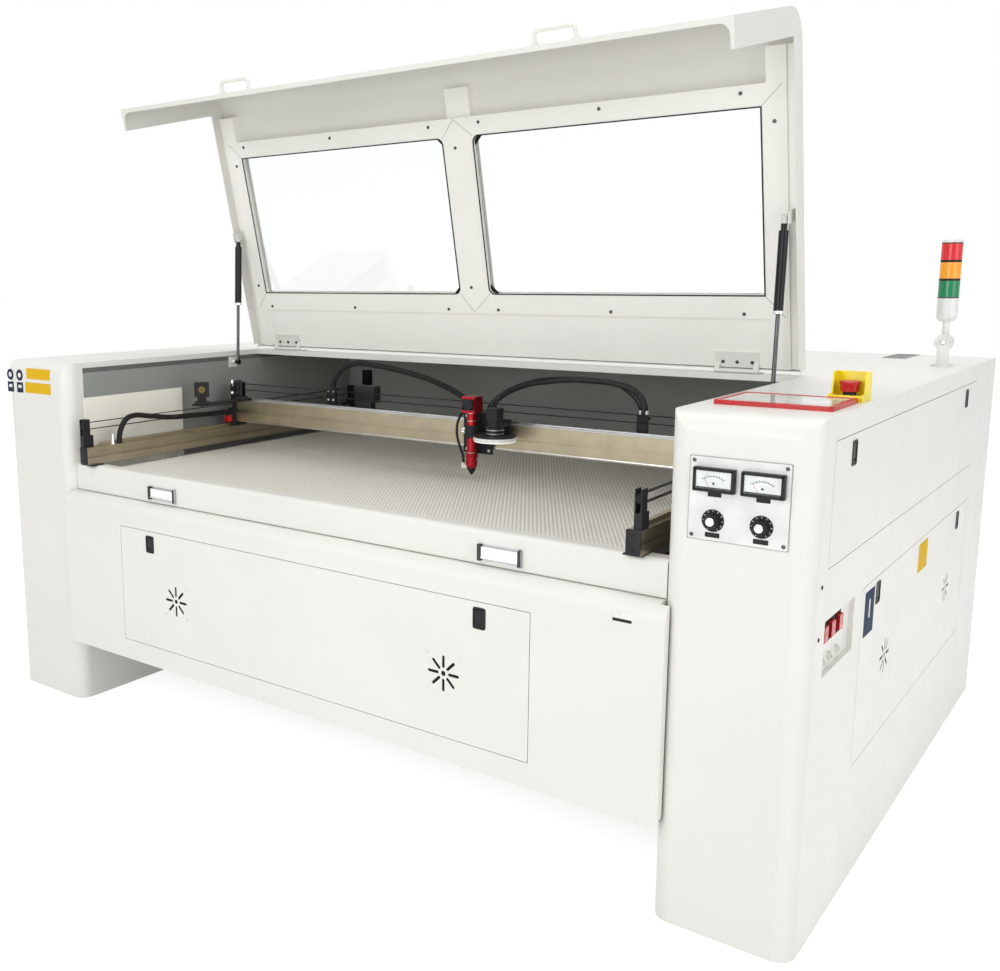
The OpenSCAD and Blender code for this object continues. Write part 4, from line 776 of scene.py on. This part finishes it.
# Painted shade: a thin dark ring round the control plate stands in for the shade along its edge
build("control_plate_painted_edge_shade", joint_line_and_edge_shade_grey, "steel", "machine",
      (frame_ring((183.6, 155.6, 2.2), 1, 0.9), at(2262.5, -1.2, 862.5), TO_FRONT))
# Painted shade: dark discs behind the slots of the front and side vents stand in for the shade inside the
# cabinet
build("front_vent_backing", vent_shade_dark, "dark_paint", "door",
      *((disc(VENT_R, 1.2), at(x, -17.4, FRONT_VENT_Z), TO_FRONT) for x in FRONT_VENTS))
build("side_vent_backing", vent_shade_dark, "dark_paint", "service_door",
      *((disc(VENT_R, 1.2), at(WIDTH - 3.4, y, 440), TO_RIGHT) for y in (577, 1227)))

# ---------------------------------------------------------------- bare plates and colour fields

FILM = 0.5
MARK = 0.3
NAVY_X = (23, 71)

build("blank_rating_plate", plate_white, "white_plastic", "machine",
      (rounded((44, 23, 0.8), 2, 0.2), at(2056, -20.2, 613.5), TO_FRONT))
build("rating_plate_band", label_black, "black_plastic", "machine",
      (rounded((40, 6, 0.4), 1), at(2056, -20.75, 606.5), TO_FRONT))

blue_fields = Piece("navy_fields_front", navy, "dark_paint", "machine")
for x in NAVY_X:
    blue_fields.add(disc(17, FILM), at(x, 0, 977), TO_FRONT)
    blue_fields.add(rounded((31, 31, FILM), 2), at(x, -FILM / 2, 940), TO_FRONT)
blue_fields.done()
pale_marks = Piece("navy_field_marks", plate_white, "white_plastic", "machine")
for x in NAVY_X:
    pale_marks.add(disc(7.5, MARK), at(x, -FILM, 977), TO_FRONT)
    pale_marks.add(rounded((16, 9, MARK), 2), at(x, -FILM - MARK / 2, 943), TO_FRONT)
pale_marks.done()
build("yellow_fields_front", yellow_field, "yellow_plastic", "machine",
      (rounded((116, 32, FILM), 2), at(165, -FILM / 2, 984), TO_FRONT),
      (rounded((126, 32, FILM), 2), at(161, -FILM / 2, 942), TO_FRONT))
build("navy_field_side", navy_bright, "dark_paint", "service_door",
      (rounded((73, 95, FILM), 3), at(WIDTH + FILM / 2, 409.5, 580.5), WALL_RIGHT))
build("navy_field_side_mark", plate_white, "white_plastic", "service_door",
      (rounded((9, 40, MARK), 3), at(WIDTH + FILM + MARK / 2, 409.5, 588), WALL_RIGHT))
build("yellow_field_side", yellow_field, "yellow_plastic", "service_door",
      (rounded((94, 71, FILM), 3), at(WIDTH + FILM / 2, 903, 595.5), WALL_RIGHT))

# ---------------------------------------------------------------- control panel

METERS, METER_Z = (2219, 2307), 899
METER_PANE = (65.4, 33.4)
SCALE_START, SCALE_STEP = 52, 9.5
NEEDLE = 124

meter_faces = Piece("meter_faces", meter_white, "white_plastic", "machine")
meter_scales = Piece("meter_scales", label_black, "black_plastic", "machine")
meter_needles = Piece("meter_needles", red_plastic, "red_plastic", "machine")
meter_glass = Piece("meter_glasses", thin_glass, "glass", "machine")
meter_rims = Piece("meter_rims", black_plastic, "black_plastic", "machine")
for x in METERS:
    meter_rims.add(frame_ring((76, 44, 3), 2, 5.5), at(x, -11.5, METER_Z), TO_FRONT)
    meter_faces.add(block((*METER_PANE, 0.6)), at(x, -10.3, METER_Z), TO_FRONT)
    pivot = at(x, -10.6, METER_Z - 24)
    meter_scales.add(sector(31, 1.1, 0.35, SCALE_START, 8 * SCALE_STEP), pivot, TO_FRONT)
    for i in range(9):
        tick = dial_mark((2.2 if i % 2 else 3.6, 0.8, 0.35), 33.2, 0.17, SCALE_START + SCALE_STEP * i)
        meter_scales.add(tick, pivot, TO_FRONT)
    meter_scales.add(disc(2.4, 0.5), at(x, -10.6, METER_Z - 6), TO_FRONT)
    meter_scales.add(block((64, 3.4, 0.7)), at(x, -10.8, METER_Z - 15), TO_FRONT)
    meter_needles.add(dial_mark((20, 0.6, 0.3), 20, 0, NEEDLE), at(x, -11.3, METER_Z - 24), TO_FRONT)
    meter_glass.add(block((*METER_PANE, 0.5)), at(x, -12.5, METER_Z), TO_FRONT)
for piece in (meter_rims, meter_faces, meter_scales, meter_needles, meter_glass):
    piece.done()

DIALS, DIAL_Z = {"left": 2218, "right": 2306}, 823
dial_scales = Piece("dial_scale_discs", label_black, "black_plastic", "machine")
dial_ticks = Piece("dial_ticks", plate_white, "white_plastic", "machine")
name_plates = Piece("blank_name_plates", label_black, "black_plastic", "machine")
for side, x in DIALS.items():
    centre = at(x, -2.0, DIAL_Z)
    dial_scales.add(disc(21, 0.35, 0.1, 48), centre, TO_FRONT)
    for i in range(11):
        dial_ticks.add(dial_mark((3.2, 0.9, 0.16), 17.8, 0.42, 30 * i - 60), centre, TO_FRONT)
    build("dial_grip_" + side, black_plastic, "black_plastic", "dial_" + side,
          (fluted(13.2, 10.5, 16, 1.1), at(x, -6.4, DIAL_Z), TO_FRONT), smooth=20)
    build("dial_cap_" + side, chrome, "chrome_part", "dial_" + side,
          (turned([(0, 0), (7.8, 0), (7.8, 0.6), (7, 1.1), (0, 1.1)]), at(x, -17.6, DIAL_Z), TO_FRONT))
    name_plates.add(rounded((27, 9, 0.6), 1), at(x, -2.3, 796), TO_FRONT)
    name_plates.add(rounded((25, 9, 0.6), 1), at(x + 1, -2.3, 871.5), TO_FRONT)
for piece in (dial_scales, dial_ticks, name_plates):
    piece.done()

TOUCH_T, TOUCH_RIM = 9, 9
SCREEN_INSET, SCREEN_DROP = 9.2, 1
lo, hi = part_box("touch_panel")
touch_w, touch_d = (hi[0] - lo[0]) / MM, (hi[1] - lo[1]) / MM
touch_mid = Vector(((lo[0] + hi[0]) / 2, (lo[1] + hi[1]) / 2, lo[2]))
touch_frame = build("touch_panel_frame", red_plastic, "red_plastic", "machine",
                    (frame_ring((touch_w, touch_d, TOUCH_T), 6, TOUCH_RIM),
                     touch_mid + step(0, 0, TOUCH_T / 2)))
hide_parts("touch_panel")
build("touch_panel_screen", screen_finish, "glass", "machine",
      (block((touch_w - 2 * SCREEN_INSET, touch_d - 2 * SCREEN_INSET, TOUCH_T - SCREEN_DROP)),
       touch_mid + step(0, 0, (TOUCH_T - SCREEN_DROP) / 2)))
build("rear_top_plate", grey_plate, "slate_paint", "machine",
      (rounded((66, 186, 1.6), 4, 0.4), at(2166, 1620, 1020.8)),
      *((rounded((48, 5, 1.2), 2, 0.3), at(2166, y, 1021.8)) for y in range(1545, 1700, 14)))

# ---------------------------------------------------------------- emergency stop

lo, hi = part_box("estop_box")
base = Vector(((lo[0] + hi[0]) / 2, (lo[1] + hi[1]) / 2, lo[2]))
HALF, WALL = 32, 3.2
INSIDE = 2 * HALF - WALL
TO_WALL = HALF - WALL / 2
CHEEK = ((-HALF, 0), (HALF, 0), (HALF, 56), (-4, 56), (-9, 15), (-HALF, 13))

hood = build("stop_button_hood", yellow_plastic, "yellow_plastic", "machine",
             (side_wall(CHEEK, WALL), base + step(-TO_WALL, 0, 0)),
             (side_wall(CHEEK, WALL), base + step(TO_WALL, 0, 0)),
             (block((INSIDE, WALL, 55.6), 0.8), base + step(0, TO_WALL, 27.8)),
             (block((INSIDE, WALL, 13), 0.8), base + step(0, -TO_WALL, 6.5)),
             (block((INSIDE, INSIDE, 7), 0.5), base + step(0, 0, 3.5)))
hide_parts("estop_box")
build("stop_button_collar", plate_steel, "steel", "machine", (hoop(16.5, 9.5, 4), base + step(0, 0, 7)))
build("stop_button_stem", black_plastic, "black_plastic", "stop_button",
      (turned([(0, -19), (8, -19), (8, 6), (12.5, 6.5), (12.5, 19), (0, 19)]), base + step(0, 0, 0.6)))
mushroom = build("stop_button_cap", red_plastic, "red_plastic", "stop_button",
                 (turned([(0, 0), (15.5, 0), (17, 1.2), (18, 14), (20, 17), (20, 19.5), (18.5, 21),
                          (8, 22.2), (0, 22.4)], 40), base + step(0, 0, 17.5)), smooth=40)
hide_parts("estop_button")

# ---------------------------------------------------------------- switch pocket

ROCKERS = (112, 158, 209)
PIN_CIRCLE = 3.2

sockets = Piece("socket_pins", steel, "steel", "machine")
for y in ROCKERS:
    for a in (0, 120, 240):
        pin = turned([(0, 0), (1.1, 0), (1.1, 3), (0.6, 3.6), (0, 3.6)], 10)
        slid(pin, PIN_CIRCLE * math.cos(math.radians(a)), PIN_CIRCLE * math.sin(math.radians(a)), 0)
        sockets.add(pin, at(WIDTH - 8.1, y, 558), TO_RIGHT)
sockets.done()
build("rocker_bezels", black_plastic, "black_plastic", "machine",
      *((frame_ring((34, 44, 1.6), 2.5, 3.4), at(WIDTH - 9.1, y, 612), WALL_RIGHT) for y in ROCKERS))
for i, y in enumerate(ROCKERS, 1):
    build("rocker_mark_%d" % i, plate_white, "white_plastic", "switch_%d" % i,
          (block((1.2, 7, 0.4), 0.1), at(WIDTH - 2, y, 619.5), WALL_RIGHT),
          (hoop(3.4, 2.4, 0.4, 24), at(WIDTH - 2.2, y, 604.5), TO_RIGHT))

# ---------------------------------------------------------------- signal tower

LENS_H = 48
lo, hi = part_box("tower_lamps")
lamp_foot = Vector(((lo[0] + hi[0]) / 2, (lo[1] + hi[1]) / 2, lo[2]))
build("lens_collars", black_plastic, "black_plastic", "tower",
      (hoop(25.4, 20, 3), lamp_foot - step(0, 0, 3)),
      (hoop(25.4, 20, 6), lamp_foot + step(0, 0, LENS_H - 6)),
      (hoop(25.4, 20, 6), lamp_foot + step(0, 0, 2 * LENS_H - 6)),
      (hoop(25.4, 20, 3), Vector((lamp_foot.x, lamp_foot.y, hi[2]))))
build("lens_ribs", lamp_material(lo, hi), "lamp_plastic", "tower",
      *((hoop(25.7, 24, 2.2, 40), lamp_foot + step(0, 0, i * LENS_H + 3 + k * 5.6))
        for i in range(3) for k in range(7)))
screws("tower_fold_screw", steel, "steel", "machine", (7, 3.5), [at(2335, 1293.4, 1084)], TO_FRONT)

# ---------------------------------------------------------------- gas struts

for side in ("left", "right"):
    lo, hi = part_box("strut_tube_" + side)
    middle = (lo[0] + hi[0]) / 2
    top_end = Vector((middle, hi[1], hi[2])) - step(0, 11.3, 10)
    low_end = Vector((middle, lo[1], lo[2])) + step(0, 11.2, 1)
    turn = (top_end - low_end).to_track_quat("Z", "Y").to_matrix().to_4x4()
    build("strut_gland_" + side, chrome, "chrome_part", "tube_" + side, (hoop(11.5, 5.3, 7), low_end, turn))

# ---------------------------------------------------------------- gantry

BEAM_Y, CROSS_Y = 600.0, 633.0

build("cross_belt", rubber, "rubber", "gantry",
      *((block((1640, 9, 1.8)), at(1211, CROSS_Y, z)) for z in (897.5, 917.5)))
WHEEL = ((0, -5), (9.2, -5), (9.2, 5), (0, 5))
build("cross_belt_wheels", black_plastic, "black_plastic", "gantry",
      *((turned(WHEEL), at(x, CROSS_Y, 907.5), TO_FRONT) for x in (357, 2065)))
screws("cross_belt_screws", plate_white, "white_plastic", "gantry", (3.6, 2.2),
       [at(x, CROSS_Y - 12, z) for x in (346, 370, 2054, 2078) for z in (886, 911)], TO_FRONT)
build("beam_trim_strips", rail_steel, "steel", "gantry",
      (block((1600, 1.2, 4), 0.3), at(1220, BEAM_Y - 0.4, 799.5)))
BOLT = ((0, 0), (3.4, 0), (3.4, 0.5), (1.8, 0.5), (1.8, 0.15), (0, 0.15))
build("beam_rail_bolts", black_metal, "black_metal", "gantry",
      *((turned(BOLT, 16), at(470 + i * 60, 617.5, 875)) for i in range(26)))
build("beam_end_stop", red_plastic, "red_plastic", "gantry",
      (block((24, 16, 22), 2), at(362, 580, 806)),
      (disc(4, 2), at(362, 572, 808), TO_FRONT))

mirror_faces = Piece("mirror_faces", mirror_gold, "champagne_alu", "gantry")
mirror_rings = Piece("mirror_clamp_rings", black_metal, "black_metal", "gantry")
mirror_thumbs = Piece("mirror_thumb_screws", chrome, "chrome_part", "gantry")
for place, degrees in ((at(402, 430, 916), -45), (at(402, 602, 910), 45)):
    stand = Matrix.Rotation(math.radians(degrees), 4, "Z")
    mirror_faces.add(slid(swung(disc(11.5, 1.2), TO_RIGHT), 3.2, 0, 0), place, stand)
    mirror_rings.add(slid(swung(hoop(15.5, 11, 1.6), TO_RIGHT), 4, 0, 0), place, stand)
    for a, b in ((-17, -17), (-17, 17), (17, 17)):
        mirror_thumbs.add(slid(swung(fluted(5, 7, 12, 0.6), TO_LEFT), -24, a, b), place, stand)
for piece in (mirror_faces, mirror_rings, mirror_thumbs):
    piece.done()

build("cable_clamp_left", black_plastic, "black_plastic", "gantry",
      (block((34, 12, 54), 2), at(756, 647, 900)),
      (block((20, 10, 60), 1.5), at(756, 646, 845)))
screws("cable_clamp_screws", plate_white, "white_plastic", "gantry", (3.4, 1.8),
       [at(x, 641, z) for x, z in ((746, 915), (766, 915), (746, 888), (766, 888))], TO_FRONT)
build("gantry_junction_box", black_plastic, "black_plastic", "gantry",
      (block((78, 34, 50), 3), at(885, 661, 913)),
      (block((60, 24, 74), 2), at(885, 652, 860)))
build("gantry_junction_box_lid", black_metal, "black_metal", "gantry",
      (block((70, 2, 42), 0.8), at(885, 643.4, 913)))
build("hose_clip_right", plate_white, "white_plastic", "gantry",
      (block((22, 12, 12), 2), at(1787, 649, 922)))


def gantry_hose(name, radius, finish_of, points):
    """A hose from the gantry to the carriage, drawn through the given points."""
    obj = hose(name, points, radius, finish_of)
    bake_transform(obj)


gantry_hose("head_cable_left", 8.5, rubber,
            ((756, 649, 900), (760, 650, 938), (786, 650, 976), (833, 648, 1001), (930, 640, 1003),
             (1054, 628, 990), (1170, 616, 968), (1262, 606, 936), (1300, 604, 908)))
gantry_hose("air_hose_right", 9.0, black_plastic,
            ((1788, 649, 912), (1786, 650, 940), (1762, 652, 972), (1721, 652, 988), (1640, 648, 996),
             (1530, 638, 990), (1430, 622, 966), (1375, 608, 930), (1358, 604, 906)))
gantry_hose("camera_cable", 2.6, rubber,
            ((1422, 530, 918), (1424, 540, 940), (1432, 570, 962), (1470, 606, 985), (1560, 636, 1000),
             (1680, 649, 994), (1752, 650, 962), (1776, 649, 930), (1780, 648, 908)))

LEFT_HOSE = ((367, 128, 786), (367, 130, 806), (367, 140, 830), (367, 158, 850), (367, 182, 857),
             (367, 249, 849), (367, 322, 838), (367, 431, 833), (367, 533, 829), (368, 590, 827))
hose_left = hose("gantry_cable_left", LEFT_HOSE, 8, rubber)
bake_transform(hose_left)
build("hose_fitting_left", chrome, "chrome_part", "machine",
      (turned([(0, 0), (6.5, 0), (6.5, 8), (5, 9), (5, 30), (0, 30)], 6), at(367, 104, 781)), smooth=20)
build("hose_gland_left", black_plastic, "black_plastic", "machine",
      (hoop(9, 7.6, 12, 12), at(367, 128, 781)), smooth=20)

rail_caps = Piece("rail_end_plates", black_metal, "black_metal", "machine")
for x in (360, 2062):
    rail_caps.add(rounded((31, 52, 3), 4, 0.6), at(x, 4.4, 757), TO_FRONT)
    for z in (742, 772):
        rail_caps.add(pan_screw(3.4, 2), at(x, 3, z), TO_FRONT)
rail_caps.done()

# ---------------------------------------------------------------- cutting head

HEAD_X, HEAD_Y = 1330.0, 560

build("focus_tube_rings", rail_steel, "steel", "focus",
      *((hoop(14.5, 13.6, 1.2), at(HEAD_X, HEAD_Y, z)) for z in (788, 876, 897)))
COLLAR = ((14, 0), (17, 2), (17, 7), (15.5, 8), (17, 9), (17, 13), (14, 15))
build("focus_collar", red_anodised, "red_paint", "focus", (turned(COLLAR, 36, True), at(HEAD_X, HEAD_Y, 772)))
build("clamp_knob", chrome, "chrome_part", "carriage",
      (fluted(8, 11, 14, 0.8), at(HEAD_X - 20, HEAD_Y, 847), TO_LEFT),
      (disc(3, 5), at(HEAD_X - 15, HEAD_Y, 847), TO_LEFT), smooth=20)
head_screws = Piece("head_plate_screws", steel, "steel", "carriage")
for x in (HEAD_X - 36, HEAD_X + 36):
    for z in (792, 884):
        head_screws.add(pan_screw(4, 2.4), at(x, 590, z), TO_FRONT)
for x in (HEAD_X - 22, HEAD_X + 22):
    head_screws.add(pan_screw(3.5, 2.2), at(x, 612, 894))
head_screws.done()
build("head_mirror_cap", black_metal, "black_metal", "focus",
      (block((34, 6, 30), 1), at(HEAD_X, 537, 921)),
      *((fluted(3.4, 6, 10, 0.4), at(HEAD_X + dx, 534, 921 + dz), TO_FRONT)
        for dx, dz in ((-11, -10), (11, -10), (11, 10))), smooth=20)
build("air_elbow", plate_white, "white_plastic", "focus",
      (turned([(0, 0), (5.5, 0), (5.5, 14), (4.5, 15), (0, 15)], 20), at(HEAD_X - 9, HEAD_Y, 748), TO_LEFT),
      (turned([(0, 0), (5.8, 0), (5.8, 15), (0, 15)], 20), at(HEAD_X - 27, HEAD_Y, 744)))
NOSE_HOSE = ((HEAD_X - 27, HEAD_Y, 757), (HEAD_X - 28, HEAD_Y, 775), (HEAD_X - 40, 562, 800),
             (HEAD_X - 56, 570, 840), (HEAD_X - 56, 584, 880), (HEAD_X - 46, 600, 905))
nose_hose = hose("nozzle_air_hose", NOSE_HOSE, 3.6, black_plastic)
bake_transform(nose_hose)

CAM_X, CAM_Y = HEAD_X + 92, 530.0
LAMPS, LAMP_CIRCLE = 24, 43
build("ring_light_diffuser", ring_glow, "white_plastic", "carriage",
      (hoop(55.2, 31, 2.4), at(CAM_X, CAM_Y, 834.4), TO_FLOOR))
build("ring_light_rim", plate_white, "white_plastic", "carriage",
      (hoop(56.6, 55, 9, 64), at(CAM_X, CAM_Y, 834.5)))
ring_lamps = Piece("ring_light_lamps", ring_glow, "white_plastic", "carriage")
for i in range(LAMPS):
    a = 2 * math.pi * i / LAMPS
    where = at(CAM_X + LAMP_CIRCLE * math.cos(a), CAM_Y + LAMP_CIRCLE * math.sin(a), 832)
    ring_lamps.add(disc(2.6, 1, 0.2, 12), where, TO_FLOOR)
ring_lamps.done()
build("camera_lens", lens_glass, "glass", "carriage",
      (turned([(0, 0), (12, 0), (13.5, -3), (9, -5.5), (0, -7)]), at(CAM_X, CAM_Y, 856)))
build("camera_lens_rings", rail_steel, "steel", "carriage",
      *((hoop(24.4, 23, 1.6), at(CAM_X, CAM_Y, z)) for z in (852, 862)))

# ---------------------------------------------------------------- table and laser tube

screws("table_rim_screws", steel, "steel", "machine", (4, 1.8),
       [at(x, y, 715) for x in (389, 2033) for y in (71, 340, 611, 880, 1151)])
TUBE_Y, TUBE_Z = 1480, 850
build("laser_tube_ends", nickel, "champagne_alu", "machine",
      *((hoop(23.4, 21, 46), at(x, TUBE_Y, TUBE_Z), TO_RIGHT) for x in (512, 2060)))
build("laser_tube_core", thin_glass, "glass", "machine",
      (hoop(12, 9, 1380), at(620, TUBE_Y, TUBE_Z), TO_RIGHT))

# ---------------------------------------------------------------- stage

FLOOR_HALF = 60.0
FLOOR_DROP = 0.6 * MM
FLOOR_GLOW = 0.65
WORLD_LIGHT = 0.33

floor_mesh = bpy.data.meshes.new("floor")
corners = [(x * FLOOR_HALF, y * FLOOR_HALF, 0) for x, y in ((-1, -1), (1, -1), (1, 1), (-1, 1))]
floor_mesh.from_pydata(corners, [], [(0, 1, 2, 3)])
floor = bpy.data.objects.new("floor", floor_mesh)
floor.location.z = -FLOOR_DROP
bpy.context.collection.objects.link(floor)
floor_white = Mat("floor_white", (0.86, 0.86, 0.86), 0.9, Emission_Color=(1, 1, 1, 1))
floor_white.tint(0.6, (0.85, 0.85, 0.85), (0.87, 0.87, 0.87))
glow = floor_white.math("MULTIPLY", floor_white.seen(), FLOOR_GLOW)
floor_white.link(glow, floor_white.b.inputs["Emission Strength"])
floor_mesh.materials.append(floor_white.m)

# The world is white to look at and gives less light than that
world = bpy.data.worlds.new("studio")
bpy.context.scene.world = world
world.use_nodes = True
sky = Nodes(world.node_tree)
sky.tree.nodes.clear()
background = sky.node("ShaderNodeBackground", Color=(1, 1, 1, 1))
strength = sky.math("MULTIPLY_ADD", sky.seen(), 1.0 - WORLD_LIGHT, WORLD_LIGHT)
sky.link(strength, background.inputs["Strength"])
sky.link(background.outputs[0], sky.node("ShaderNodeOutputWorld").inputs[0])

# Name, place, aim, size and watts of each light
for name, where, aim, size, watts in (
        ("key", (-2.6, -5.2, 4.6), (0.2, 0, 0.8), 3.2, 60),
        ("front", (0.5, -4.4, 1.7), (0.0, 0, 1.05), 2.0, 57),
        ("fill", (5.5, -1.5, 2.4), (0.5, 0, 0.7), 3.5, 100),
        ("top", (0.0, 0.3, 6.0), (0, 0, 0.8), 4.0, 170)):
    data = bpy.data.lights.new(name, "AREA")
    data.shape = "SQUARE"
    data.size = size
    data.energy = watts
    light = bpy.data.objects.new(name, data)
    bpy.context.collection.objects.link(light)
    light.location = where
    light.rotation_euler = (Vector(aim) - Vector(where)).to_track_quat("-Z", "Y").to_euler()

bpy.context.scene.view_settings.view_transform = "Standard"
